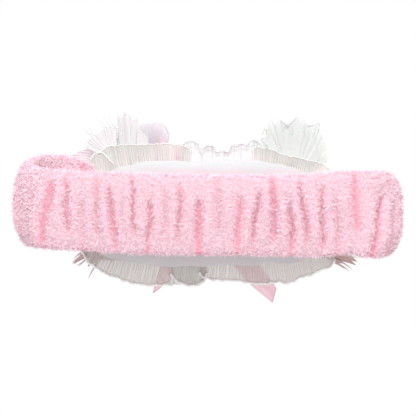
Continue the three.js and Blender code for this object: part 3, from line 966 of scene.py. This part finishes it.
RUFFLE_Y = (RUFFLE_LOW[1] + RUFFLE_HIGH[1]) / 2
SEWN_Y = PANEL_FRONT - 0.4  # where the trimmings are stitched down into the plush
LOWER_SEAM_Z = -14.0
UPPER_SEAM_Z = 16.0
LOWER_LEFT_HEM = ((-85, -25), (-81, -32), (-75, -37), (-70, -40), (-62, -43.3), (-56, -45.4), (-49, -47.4),
                  (-38, -48.6), (-25, -47.9), (-13, -47.9), (-7, -46.6), (-1.0, -43.0))
# where the left frill doubles back over itself beside the middle
LOWER_TURN_HEM = ((-25.4, -40.6), (-23.4, -43.6), (-20, -46.4), (-15, -48), (-9, -48.6), (-5, -47.3),
                  (-2, -43.6), (-1.0, -40))
LOWER_RIGHT_HEM = ((-6.2, -39.6), (-4.2, -42.3), (0, -44.2), (5, -44.8), (16, -45.2), (29, -46.9),
                   (38, -47.7), (46, -46), (52, -47.3), (57, -46), (61, -43), (69, -41.5), (74, -38.4),
                   (81, -36), (84.5, -31.5))
UPPER_LEFT_HEM = ((-12, 42.5), (-20, 45.2), (-30, 45.8), (-44, 45.2), (-58, 45), (-68, 43.4), (-74, 39),
                  (-80, 35.5))
# where the upper left frill curls back at its outer end
UPPER_TURN_HEM = ((-79, 34.5), (-76.6, 38), (-74.4, 39.9), (-72.2, 40.4), (-69.5, 38.8), (-66.5, 36),
                  (-62.4, 31.8))
UPPER_RIGHT_HEM = ((81, 28.5), (77, 32), (70, 34.2), (60, 36.4), (50, 38.6), (40, 42.6), (30, 43.6))


def make_ruffles():
    def lower(name, xs, hem, depth_y, node=None, **shape):
        make_frill(name, [(x, LOWER_SEAM_Z) for x in xs], hem, depth_y, node, **shape)

    def upper(name, xs, hem, node, seed):
        make_frill(name, [(x, UPPER_SEAM_Z) for x in xs], hem, RUFFLE_Y, node, pitch=1.6, deep=0.22,
                   seed=seed, hem_radius=0.3, material=ORGANZA_PAINTED_LIGHT, hem_material=CREAM_HEM)

    # the left turns and the upper frills wear the organza's lighter, painted-light copy
    lower("ruffle_lower_left_turn", (-25, -13, -1.5), LOWER_TURN_HEM, RUFFLE_Y - 1.7, seed=141,
          bulge=0.7, material=ORGANZA_PAINTED_LIGHT)
    lower("ruffle_lower_left_frill", (-76, -40, -0.5), LOWER_LEFT_HEM, RUFFLE_Y, "ruffle_lower_left",
          seed=101)
    lower("ruffle_lower_right_frill", (-1.7, 40, 76), LOWER_RIGHT_HEM, RUFFLE_Y - 1.9,
          "ruffle_lower_right", seed=111)
    upper("ruffle_upper_left_frill", (-12, -40, -74), UPPER_LEFT_HEM, "ruffle_upper_left", 121)
    make_frill("ruffle_upper_left_turn", ((-76, 22), (-70, 20), (-63, 18)), UPPER_TURN_HEM,
               RUFFLE_Y - 1.8, pitch=1.6, deep=0.22, bulge=0.4, seed=151, hem_radius=0.4,
               material=ORGANZA_PAINTED_LIGHT, sewn_y=RUFFLE_Y - 1.8)
    upper("ruffle_upper_right_frill", (76, 52, 30), UPPER_RIGHT_HEM, "ruffle_upper_right", 131)


# ---- lace edging ----------------------------------------------------------------

# each scallop of the lace: its middle, half width and top
SCALLOPS = ((-12, 7, 48.4), (0.5, 4.8, 45.4), (9.5, 5.0, 41.6), (17.5, 4.2, 45.6), (22.5, 4.5, 46.6),
            (30, 5.2, 49))
LACE_LOW_Z = 24.0
SCALLOP_VALLEY_Z = 39.0


def lace_top(x):
    """How high the lace's scalloped edge stands at each x."""
    tops = []
    for middle, half, top in SCALLOPS:
        arch = np.clip(1 - np.abs((x - middle) / half) ** 3, 0, 1) ** 0.5
        tops.append(SCALLOP_VALLEY_Z + (top - SCALLOP_VALLEY_Z) * arch)
    return np.max(tops, axis=0)


def make_lace():
    """Gathered lace whose scalloped top curls over, with a corded and looped edge."""
    node_low, node_high = node_box("lace_edging")
    middle_y = (node_low[1] + node_high[1]) / 2
    columns, rows = 361, 26
    x = np.linspace(node_low[0] + 0.5, node_high[0] - 0.5, columns)
    v = np.linspace(0, 1, rows)[:, None]
    ripple = wobble(x * 0.9, 201) * 1.1 + 0.3 * np.sin(x * 2.6 + wobble(x * 0.5, 202))
    z = LACE_LOW_Z + (lace_top(x) - LACE_LOW_Z) * v - 0.8 * smoothstep(0.86, 1.0, v)
    curl = 1.3 * smoothstep(0.72, 1.0, v) * (0.7 + 0.5 * wobble(x * 0.7, 203))
    y = middle_y + ripple * v - curl + (SEWN_Y - middle_y) * (1 - v) ** 3
    sway = 0.25 * np.sin(x * 2.6 + 1.3) * v
    points = np.stack([x + sway, y, z], axis=-1)
    lace = grid_mesh("lace_edging_net", points, LACE_NET)
    lines = ((rows - 1, 0.5), (rows - 5, 0.3), (rows - 9, 0.25))
    cords = [tube(smoothed(points[row], 9)[::2], radius, 8) for row, radius in lines]
    cords += twisted_cord(smoothed(points[0], 9)[::4] + 0.8 * FORWARDS)
    # little loops stand along the edge
    turn = np.linspace(-0.4, math.pi + 0.4, 9)
    loop = np.stack([0.6 * np.cos(turn), 0.25 * np.cos(2 * turn), 0.1 + 0.7 * np.sin(turn)], axis=1)
    cords += [tube(points[-1, start] + loop, 0.22, 5) for start in range(4, columns - 6, 6)]
    cord = joined_mesh("lace_edging_cord", cords, LACE_CORD)
    lay_cloth(lace, [cord], "white_lace", ["lace_edging"], 23)


# ---- tulle rosettes and felt discs ------------------------------------------------


def petal(root, tip, width, depth_y, seed):
    """A pointed, pleated leaf of net from its root to its tip, each (x, z)."""
    root, tip = np.array(root, float), np.array(tip, float)
    rng = np.random.default_rng(seed)
    along = normalised(tip - root)
    across = np.array([-along[1], along[0]])
    v = np.linspace(0, 1, 16)[:, None]
    u = np.linspace(-1, 1, 17)
    spread = width * (0.25 + 1.25 * np.sin(math.pi * np.clip(v * 0.72 + 0.1, 0, 1)) ** 1.2)
    spread = spread * np.clip((1.02 - v) / 0.32, 0.04, 1) ** 0.8
    lean = rng.uniform(-2.5, 2.5) * v**2
    bend = 0.5 * width * rng.uniform(-0.3, 0.3) * v**2
    flat = root + v[..., None] * (tip - root) + (u * spread + bend)[..., None] * across
    ridge = np.cos(2 * math.pi * (u * 1.5 + rng.uniform(-0.3, 0.3)))
    y = depth_y + 0.4 * v + lean + 0.252 * (1 - np.abs(u) ** 1.5) * spread + 0.25 * ridge
    fray = 0.6 * rng.uniform(-1, 1, len(u)) * v**4
    flat = flat + fray[..., None] * along
    return grid_part(standing(flat, y))


def strand(root, tip, depth_y, seed, width=0.5):
    """One stiff thread or sliver of net, tapering from its root to its tip."""
    rng = np.random.default_rng(seed)
    root, tip = np.array(root, float), np.array(tip, float)
    v = np.linspace(0, 1, 8)[:, None]
    across = np.array([-(tip - root)[1], (tip - root)[0]])
    flat = root + v * (tip - root) + np.sin(math.pi * v) * across * rng.uniform(-0.05, 0.05)
    path = np.column_stack([flat[:, 0], depth_y + rng.uniform(-1, 1) * v[:, 0] ** 2, flat[:, 1]])
    return tube(path, width * (1 - 0.85 * v[:, 0] ** 1.5), 4)


DISC_PLEATS = 30


def disc_frill(centre, reaches, depth_y, seed, share):
    """A round, radially pleated ruffle whose rim follows the given reaches."""
    rng = np.random.default_rng(seed)
    turn = full_turn(DISC_PLEATS * 6)
    jag = rng.uniform(0.86, 1.04, DISC_PLEATS * 2)
    rim = share * np.interp(turn, full_turn(len(reaches)), reaches, period=2 * math.pi)
    rim = rim * np.interp(turn, full_turn(len(jag)), jag, period=2 * math.pi)
    v = np.linspace(0, 1, 12)[:, None]
    radius = 0.5 + (rim - 0.5) * v
    phase = DISC_PLEATS * turn + 0.5 * wobble(turn * 9, seed)
    y = depth_y + (0.2 + 0.35 * v) * np.sin(phase) + 1.2 * v * wobble(turn * 5, seed + 1)
    twist = turn + 0.25 / DISC_PLEATS * np.cos(phase) * v
    return grid_part(round_about(centre, radius, twist, y), wrap=True)


ROSETTE_Y = (ROSETTE_LOW[1] + ROSETTE_HIGH[1]) / 2
# each rosette's middle, how far its rim reaches all the way round, the tips and
# widths of its petals, and its loose threads, each from its root to its tip
ROSETTES = {
    "upper_left": dict(
        centre=(-55, 38), reaches=(18, 19, 20, 22, 26, 27, 26, 25, 22, 21, 19, 18, 18, 18, 18, 18),
        petals=(((-52.5, 63.5), 3.4), ((-41, 56), 4.5)),
        strands=(((-78, 46), (-84.2, 50.6)), ((-78.5, 52), (-83.5, 56)), ((-76.5, 51.4), (-80.2, 56.3)),
                 ((-66, 54), (-75.5, 59.7)), ((-63, 54), (-70.8, 63.4)), ((-62, 56), (-68.8, 66)),
                 ((-65, 53), (-74.5, 62.4)), ((-60.2, 58), (-60.4, 67.4)), ((-72, 48), (-81.5, 53.2)))),
    "upper_right": dict(
        centre=(55, 38), reaches=(23, 22, 21, 21, 21, 21, 20, 19, 18, 18, 18, 18, 18, 18, 20, 22),
        petals=(((41.3, 61.4), 4.4), ((47.3, 62), 5.6), ((59.4, 62.9), 5.8), ((64, 61), 5.2),
                ((74.1, 58.9), 5.6), ((35.2, 48.8), 5.0), ((53, 55), 6.0), ((69, 54), 6.0),
                ((76.4, 50), 5.0), ((78.2, 42.6), 5.0), ((79, 33.5), 5.0), ((38, 55), 4.4)),
        strands=(((72, 48), (76.8, 49.3)), ((73, 43), (78.6, 45.4)), ((74, 40), (79.4, 39.9)),
                 ((73, 36), (80.4, 36.2)), ((72, 50), (76, 53.4)), ((36, 52), (38.4, 57.8)))),
    "lower_left": dict(
        centre=(-62, -13), reaches=(20, 20, 20, 20, 20, 20, 21, 22, 22, 24, 26, 26, 23, 20, 20, 20),
        petals=(((-90.6, -34.2), 2.0), ((-80.5, -36.4), 2.6), ((-84, -22), 3.4)),
        strands=(((-80, -26), (-91.6, -34)), ((-81, -28), (-90.4, -34.8)), ((-80, -30), (-87, -36.4)),
                 ((-77, -31), (-80.8, -35.7)), ((-74, -33), (-80.8, -44.8)), ((-79, -29), (-88.6, -36)),
                 ((-82, -25), (-90.6, -31.5)))),
    "lower_right": dict(
        centre=(62, -13), reaches=(24, 22, 20, 20, 20, 20, 20, 20, 20, 20, 20, 20, 22, 24, 30, 33),
        petals=(((99.4, -32.6), 3.0), ((98.6, -35), 2.8), ((92, -30.8), 3.2), ((89, -34.6), 2.8),
                ((96, -28), 3.4), ((84, -26), 4.0)),
        strands=(((84, -31), (96.3, -38.4)), ((85, -33), (91.6, -38)), ((88, -30), (99.4, -35.6)),
                 ((86, -27), (99.7, -30.4)), ((85, -34), (94.2, -39.2)))),
}


# the fans of stiff net at the back of the upper rosettes: the line that each
# springs from, its ragged tips, the width of its pleats and its depth
FAN_Y = ROSETTE_LOW[1] - 1.4
TULLE_FANS = {
    "upper_left": (
        (((-59, 38), (-54, 37), (-47, 38)),
         ((-60.2, 58), (-59, 65.2), (-57.6, 62), (-56, 67.2), (-54.6, 65.4), (-53, 65.4), (-52, 63.6),
          (-50.9, 62.6), (-49.6, 61.6), (-47.9, 63.9), (-47, 58.5)), 2.2, 0.3),
        (((-70, 38), (-66, 41), (-61, 43)),
         ((-82, 43), (-79.4, 48), (-77.5, 50.4), (-73, 52.6), (-69.5, 56.4), (-65.6, 57), (-62, 59.5)),
         3.0, 0.35),
        (((-48, 38), (-44, 38), (-40, 37)), ((-47.5, 58), (-44, 54), (-40, 50)), 3.0, 0.3)),
    "upper_right": (
        (((44, 31), (49, 33), (58, 34), (66, 31), (69, 26)),
         ((33, 44), (35.2, 48.8), (38.6, 52), (41.3, 61.6), (43.8, 57.5), (47.3, 62.6), (50, 57.5),
          (52.6, 55.5), (56.4, 59.5), (59.4, 63.4), (61.4, 60.2), (64, 61.8), (66, 57), (69, 54.6),
          (74.1, 59.4), (73.6, 54.5), (76.4, 50.5), (78.2, 43), (79.5, 34)), 6.0, 0.5),
        (((47, 31), (56, 33), (66, 28)),
         ((38, 46), (42, 52), (46, 50), (51, 55), (55, 51), (61, 55), (65, 50), (69, 50), (72, 42),
          (74, 35)), 6.0, 0.5)),
}


def make_tulle_fans(corner):
    parts = []
    for index, (root, tips, pitch, deep) in enumerate(TULLE_FANS[corner]):
        points, _ = pleated_strip(root, tips, FAN_Y - 0.8 * index, pitch, deep, bulge=0.4,
                                  seed=601 + index, rows=16, per_pleat=24, fray=0.012, crown=0.5)
        parts.append(grid_part(points))
    material = TULLE_LAYERS_LEFT if corner.endswith("left") else TULLE_LAYERS
    fans = joined_mesh(f"tulle_rosette_{corner}_fans", parts, material)
    lay_cloth(fans, [], "white_tulle", [], 20)


def gathered_middle(centre, depth_y):
    """The covered button, bound with crossing stitches, that hides a rosette's gathers."""
    size = 2.3
    rise = np.linspace(0.02, math.pi / 2, 8)[::-1, None]
    turn = full_turn(36)
    radius = size * np.sin(rise) * (1 + 0.05 * np.cos(turn * 9))
    parts = [grid_part(round_about(centre, radius, turn, depth_y + np.cos(rise)), wrap=True)]
    v = np.linspace(-1, 1, 13)
    for angle in (0.3, 1.35, 2.4):
        path = round_about(centre, size * v, angle, depth_y + 1.05 * np.sqrt(1.02 - v**2))
        parts.append(tube(path, 0.16, 5))
    return parts


def make_rosette(corner, number):
    """A rosette of three gathered rounds of net, with petals and frayed threads."""
    facts = ROSETTES[corner]
    centre = facts["centre"]
    name = "tulle_rosette_" + corner
    seed = 300 + 40 * number
    net_material, thread, thick = TULLE, TULLE_THREAD, 0.5
    # the lower rosettes take painted-shade copies of the white tulle and its thread: pinkish brown for the
    # shade under the band and the strap's pink reflection
    if corner.startswith("lower"):
        net_material, thread, thick = TULLE_PAINTED_SHADE, TULLE_THREAD_PAINTED_SHADE, 0.75
    parts = []
    for layer in range(3):
        parts.append(disc_frill(centre, facts["reaches"], ROSETTE_Y + 1.3 * (layer - 1), seed + layer,
                                0.84 - 0.16 * layer))
    for index, (tip, width) in enumerate(facts["petals"]):
        parts.append(petal(centre, tip, width, ROSETTE_Y - 1.6 + 0.45 * (index % 4), seed + 5 + index))
    gathers = joined_mesh(name + "_net", parts, net_material)
    threads = [strand(root, tip, ROSETTE_Y - 1, seed + 20 + index, thick)
               for index, (root, tip) in enumerate(facts["strands"])]
    threads += gathered_middle(centre, ROSETTE_Y + 1.7)
    frayed = joined_mesh(name + "_frays", threads, thread)
    lay_cloth(gathers, [frayed], "white_tulle", [name], 24)


FELT_SHARE = np.array([0.35, 0.6, 0.35])  # how much of its CAD solid the felt fills
# the felt's section from its middle to its rim: share of its radius, share of its thickness
FELT_SECTION = ((0.02, 1.0), (0.35, 1.0), (0.7, 1.0), (0.9, 1.0), (0.97, 0.75), (1.0, 0.3))


def make_felt(node):
    """A pressed felt disc or patch with a soft, uneven rim."""
    low, high = node_box(node)
    middle, half = (low + high) / 2, (high - low) / 2 * FELT_SHARE
    turn = full_turn(72)
    rim = 1 + 0.012 * wobble(turn * 7, len(node))
    squareness = 2.0 if half[2] < half[0] * 1.2 else 3.5
    x = half[0] * squared(np.cos(turn), squareness) * rim
    z = half[2] * squared(np.sin(turn), squareness) * rim
    rows = []
    for share, level in FELT_SECTION + tuple((share, -level) for share, level in reversed(FELT_SECTION)):
        rough = 0.08 * wobble(turn * 11 + share * 9, 7) * (share > 0.3)
        rows.append(middle + np.stack([share * x, half[1] * level + rough, share * z], axis=-1))
    piece = grid_mesh(node + "_felt", np.array(rows), WHITE_FELT, wrap=True)
    carried(piece, "front", "white_felt", node)


# ---- ribbons ---------------------------------------------------------------------


def ribbon_band(path, width, across, seed, crease, columns, dome=0.0):
    """A ribbon swept along a path of points, as a grid.

    width gives the ribbon's width at each point, and across the direction that
    it is laid in; folds run along it where it is drawn narrow.
    """
    count = len(path)
    along = normalised(np.gradient(path, axis=0))
    across = normalised(np.array(across, float))
    out = normalised(np.cross(along, across))
    width = width[:, None]
    u = np.linspace(-1, 1, columns)
    pinch = np.clip(1 - width / width.max(), 0, 1)
    fold = crease * (0.25 + 2.2 * pinch) * np.cos(u * 5.2 + wobble(u * 3, seed))
    fold = fold + 0.25 * wobble(np.arange(count)[:, None] * 0.25 + u * 2.0, seed + 1)
    points = path[:, None] + (u * width / 2)[..., None] * across + fold[..., None] * out[:, None]
    rise = (path[:, 2] - path[:, 2].min()) / max(np.ptp(path[:, 2]), 1e-6)
    points[..., 2] -= dome * np.abs(u) ** 2.6 * rise[:, None] ** 2
    return points


def selvedges(grid, radius):
    """The two woven edges of a ribbon."""
    return [tube(grid[:, column], radius, 5) for column in (0, -1)]


def teardrop(root, tip, swell, count=60, start=0.0):
    """A loop's side view: out from the root, round the tip and back, as (u, v)."""
    t = np.linspace(start, 1 - start, count)
    out = np.sin(math.pi * t) ** 0.75
    side = -np.sin(2 * math.pi * t) * np.abs(np.sin(math.pi * t)) ** 0.35
    return root + (tip - root) * out, swell * side


# each standing loop's two bands: how far its middle and its peak are from the
# node's, its width, how far forwards it stands, its lean, its turn and its tilt
SIDE_LOOPS = {
    "left": ((-5.4, -1.0, 17, -0.88, -2.0, 0.42, 0.14), (-1.2, -0.4, 16, 0.72, 1.5, -0.30, -0.16)),
    "right": ((0, 0, 17, 0, 2.0, 0.42, 0.14), (-4, -3, 10, 0.64, -1.5, -0.30, -0.16)),
}


def make_side_loop(side):
    """A standing loop of pale ribbon, leaning as two lobes."""
    node = "side_loop_" + side
    low, high = node_box(node)
    x, middle_y = (low[0] + high[0]) / 2, (low[1] + high[1]) / 2
    half = (high[0] - low[0]) / 2
    bands = []
    for number, (aside, above, width, forward, lean, turned, tilt) in enumerate(SIDE_LOOPS[side]):
        peak = high[2] + above
        rise, swing = teardrop(low[2], peak - 0.8, 3.6)
        share = (rise - low[2]) / (peak - low[2])
        path = np.stack([x + aside + lean * share * (half / 10), middle_y + forward + swing, rise], axis=1)
        wide = width * (0.45 + 0.55 * share**0.8)
        bands.append(ribbon_band(path, wide, (1, turned, tilt), seed=410 + number, crease=0.6, columns=15,
                                 dome=6.0))
    material = PALE_SATIN if side == "left" else WHITE_RIBBON
    loop = joined_mesh(node + "_ribbon", [grid_part(band) for band in bands], material)
    edges = [edge for band in bands for edge in selvedges(band, 0.22)]
    # a few turns of thread draw the loop in where it is sewn down
    turn = np.linspace(0, 2 * math.pi, 40)
    for wrap in range(3):
        ring = np.stack([x + half * 0.42 * np.cos(turn), middle_y + 3.4 * np.sin(turn),
                         low[2] + 1.0 + 0.7 * wrap + 0.2 * np.cos(turn)], axis=1)
        edges.append(tube(ring, 0.35, 5))
    edging = joined_mesh(node + "_selvedge", edges, material)
    lay_cloth(loop, [edging], "pale_organza", [node], 24)


INNER_RIBBON_TOP = ((-33.5, 45), (-32.8, 50.5), (-31.2, 52.2), (-29.3, 50), (-27, 46.4), (-20, 45.3),
                    (-17.6, 44))
# where the ribbon's edge comes through the frill, and how wide each sliver is
SLIVERS = ((-33.8, 0.4), (-27.4, 0.3), (-22.6, 0.6), (-21.2, 0.5), (-19.0, 0.75))


def make_inner_ribbon():
    """A turn of pink ribbon that shows through the frill beside the left loop."""
    columns = 61
    top = smooth_curve(INNER_RIBBON_TOP, columns)
    root = np.linspace((-31, 22), (-19, 22), columns)
    v = np.linspace(0, 1, 24)[:, None]
    flat = root * (1 - v[..., None]) + top * v[..., None]
    lace_front = node_box("lace_edging")[1][1]
    y = lace_front + 1.2 + 0.4 * np.sin(np.arange(columns) * 0.5) * (0.4 + v)
    ribbon = grid_mesh("side_loop_left_inner_ribbon", standing(flat, y), PINK_ORGANZA)
    # its pleated edge comes through between the frill's pleats
    slivers = [strand((x, 30), (x + 0.4, 45.6), RUFFLE_Y - 1.9, 620 + number, width)
               for number, (x, width) in enumerate(SLIVERS)]
    edging = joined_mesh("side_loop_left_inner_edges", slivers, PINK_EDGE)
    lay_cloth(ribbon, [edging], "pale_organza", [], 26)


def make_organza_tab():
    """A raw-edged scrap of pale organza that fans out at the upper left."""
    tips = ((-84, 28), (-90, 32), (-96.5, 36.6), (-92, 38.4), (-86.5, 40.6), (-81, 42.6), (-74, 46))
    root = [(-68, z) for z in range(27, 46, 3)]
    low, high = node_box("organza_tab_left")
    points, fold = pleated_strip(root, tips, (low[1] + high[1]) / 2, pitch=3.6, deep=0.3, bulge=0.6,
                                 seed=501, rows=14, fray=0.03)
    tab = grid_mesh("organza_tab_left_cloth", points, PALE_ORGANZA, attributes=(("fold", fold),))
    lay_cloth(tab, [], "pale_organza", ["organza_tab_left"], 16)


def make_bow_loop(side):
    """One loop of the bow, fullest at its far end and creased towards the knot."""
    node = "bow_loop_" + side
    low, high = node_box(node)
    sign = -1 if side == "left" else 1
    near, far = (high[0], low[0]) if side == "left" else (low[0], high[0])
    middle_y, middle_z = (low[1] + high[1]) / 2, (low[2] + high[2]) / 2
    out, swell = teardrop(near - sign * 3, far - sign * 0.4, (high[1] - low[1]) / 2 - 0.6,
                          count=84, start=0.004)
    share = np.clip((out - near) / (far - near), 0, 1)
    wide = (high[2] - low[2]) * (0.48 + 0.52 * smoothstep(0.0, 0.7, share))
    path = np.stack([out, middle_y + swell, middle_z - 1.2 * share**2], axis=1)
    band = ribbon_band(path, wide, (0, 0.06, 1), seed=430 + sign, crease=0.95, columns=25)
    loop = grid_mesh(node + "_ribbon", band, PINK_SATIN)
    edging = joined_mesh(node + "_selvedge", selvedges(band, 0.28), PINK_SATIN)
    lay_cloth(loop, [edging], "pink_satin", [node], 24)


def make_knot():
    """The ribbon wrapped round the bow's middle, drawn into upright folds."""
    middle, half = (KNOT_LOW + KNOT_HIGH) / 2, (KNOT_HIGH - KNOT_LOW) / 2
    turn = full_turn(96)
    u = np.linspace(-1, 1, 40)[:, None]
    y = squared(np.cos(turn), 3.0) * half[1]
    z = squared(np.sin(turn), 2.6) * half[2]
    folds = 0.45 * np.cos(u * 9 + 0.8 * wobble(turn * 1.5, 441)) + 0.25 * np.cos(u * 17 + 1)
    # its sides turn in towards the loops that pass through it
    shrink = (1 - 0.10 * u**2 - 0.50 * u**8) * (1 + (folds - 0.7) / half[1] * 0.9)
    waist = half[0] * (0.82 + 0.10 * np.cos(2 * turn))
    points = middle + np.stack([u * waist, y * shrink, z * shrink], axis=-1)
    knot = grid_mesh("bow_knot_wrap", points, PINK_SATIN, wrap=True)
    lay_cloth(knot, [], "pink_satin", ["bow_knot"], 2 * half[0])


# the left and the right edge of each ribbon tail, from the knot to its slanted cut
TAILS = {
    "left": (((-15.5, -12), (-25, -26.5), (-33, -39), (-37.2, -54.4)),
             ((-2.5, -12), (-13, -27), (-21, -38), (-26.5, -46.5))),
    "right": (((-1.5, -12), (11, -28), (27, -47), (43.0, -60.6)),
              ((12, -12), (22, -22.5), (35, -37), (45.6, -51.6))),
}


def make_tail(side):
    """A ribbon tail with a slanted cut end, a little folded along its length."""
    node = "ribbon_tail_" + side
    low, high = node_box(node)
    left, right = (smooth_curve(edge, 60)[:, None] for edge in TAILS[side])
    u = np.linspace(0, 1, 13)
    flat = left * (1 - u[..., None]) + right * u[..., None]
    share = np.linspace(0, 1, 60)[:, None]
    y = (low[1] + high[1]) / 2
    y = y + share * (0.9 * np.cos(u * 5 + 2.2 * share) + 0.7 * np.sin(share * 7 + 1.0))
    y = y + np.clip(1 - share / 0.25, 0, 1) * 0.45 * np.cos(u * 16)
    points = standing(flat, y)
    cloth = grid_mesh(node + "_ribbon", points, PINK_SATIN)
    edges = selvedges(points, 0.26) + [tube(points[-1], 0.3, 5)]
    edging = joined_mesh(node + "_edges", edges, PINK_SATIN)
    lay_cloth(cloth, [edging], "pink_satin", [node], 14,
              body="tail_" + side)


make_cover_pile(make_panel())
make_ruffles()
make_lace()
for number, corner in enumerate(ROSETTES):
    make_rosette(corner, number)
    make_felt("felt_disc_" + corner)
make_felt("bow_backing")
for side in ("left", "right"):
    make_side_loop(side)
    make_bow_loop(side)
    make_tail(side)
for corner in TULLE_FANS:
    make_tulle_fans(corner)
make_inner_ribbon()
make_organza_tab()
make_knot()

# ---- camera, light and floor --------------------------------------------------


CAMERA_DISTANCE = 1.13
CAMERA_RISE = math.radians(2.0)
CAMERA_TARGET = Vector((-0.0003, 0.0, 0.0043))
FLOOR_HALF_SIZE = 2500
FLOOR_Z = -600


def make_camera():
    camera = bpy.data.objects.new("camera", bpy.data.cameras.new("camera"))
    bpy.context.scene.collection.objects.link(camera)
    backwards = Vector((0, -math.cos(CAMERA_RISE), math.sin(CAMERA_RISE)))
    camera.location = CAMERA_TARGET + CAMERA_DISTANCE * backwards
    camera.rotation_euler = (math.pi / 2 - CAMERA_RISE, 0, 0)
    camera.data.sensor_width = 36
    camera.data.lens = 151.4
    bpy.context.scene.camera = camera


def area_light(name, place, size, power):
    """A round lamp that points at the middle of the frame."""
    light = bpy.data.lights.new(name, "AREA")
    light.shape = "DISK"
    light.size = size
    light.energy = power
    lamp = bpy.data.objects.new(name, light)
    lamp.location = place
    lamp.rotation_euler = (-Vector(place)).to_track_quat("-Z", "Y").to_euler()
    bpy.context.scene.collection.objects.link(lamp)


def make_floor():
    nodes = Nodes.of_material("studio_floor")
    tone = nodes.mix(nodes.noise(30, detail=2.0), shade(0.68, 0.68, 0.68), shade(0.72, 0.72, 0.72))
    corners = [(x * FLOOR_HALF_SIZE, y * FLOOR_HALF_SIZE, FLOOR_Z)
               for x, y in ((-1, -1), (1, -1), (1, 1), (-1, 1))]
    matte = nodes.finish(Base_Color=tone, Roughness=0.9)
    mesh_object("studio_floor", corners, [(0, 1, 2, 3)], matte)


def make_surroundings():
    """White behind the band; its light is brightest above and dimmer to each side."""
    world = bpy.data.worlds.new("studio")
    nodes = Nodes(world)
    way = nodes.add("ShaderNodeTexCoord").outputs["Generated"]
    parts = nodes.add("ShaderNodeSeparateXYZ", {0: way}).outputs
    above = nodes.maths("MULTIPLY_ADD", parts["Z"], 0.20, 0.70)
    aside = nodes.maths("MULTIPLY", parts["X"], parts["X"])
    lit = nodes.tree.nodes["Background"]
    lit.inputs["Color"].default_value = shade(1, 1, 1)
    nodes.put(lit.inputs["Strength"], nodes.maths("MULTIPLY_ADD", aside, -0.12, above))
    seen = nodes.add("ShaderNodeBackground", {"Color": shade(1, 1, 1)})
    by_camera = nodes.add("ShaderNodeLightPath").outputs["Is Camera Ray"]
    choice = nodes.add("ShaderNodeMixShader", {0: by_camera, 1: lit, 2: seen})
    nodes.put(nodes.tree.nodes["World Output"].inputs["Surface"], choice)
    bpy.context.scene.world = world


def make_studio():
    make_floor()
    make_surroundings()
    area_light("key", (-0.05, -1.1, 0.9), size=1.0, power=15)
    area_light("rim", (0.1, 0.5, 1.2), size=0.8, power=2.5)
    area_light("front", (0.3, 1.5, 0.7), size=1.0, power=8)
    area_light("fill", (0.0, -1.6, 0.22), size=0.8, power=3.5)
    bpy.context.scene.view_settings.view_transform = "Standard"


make_camera()
make_studio()
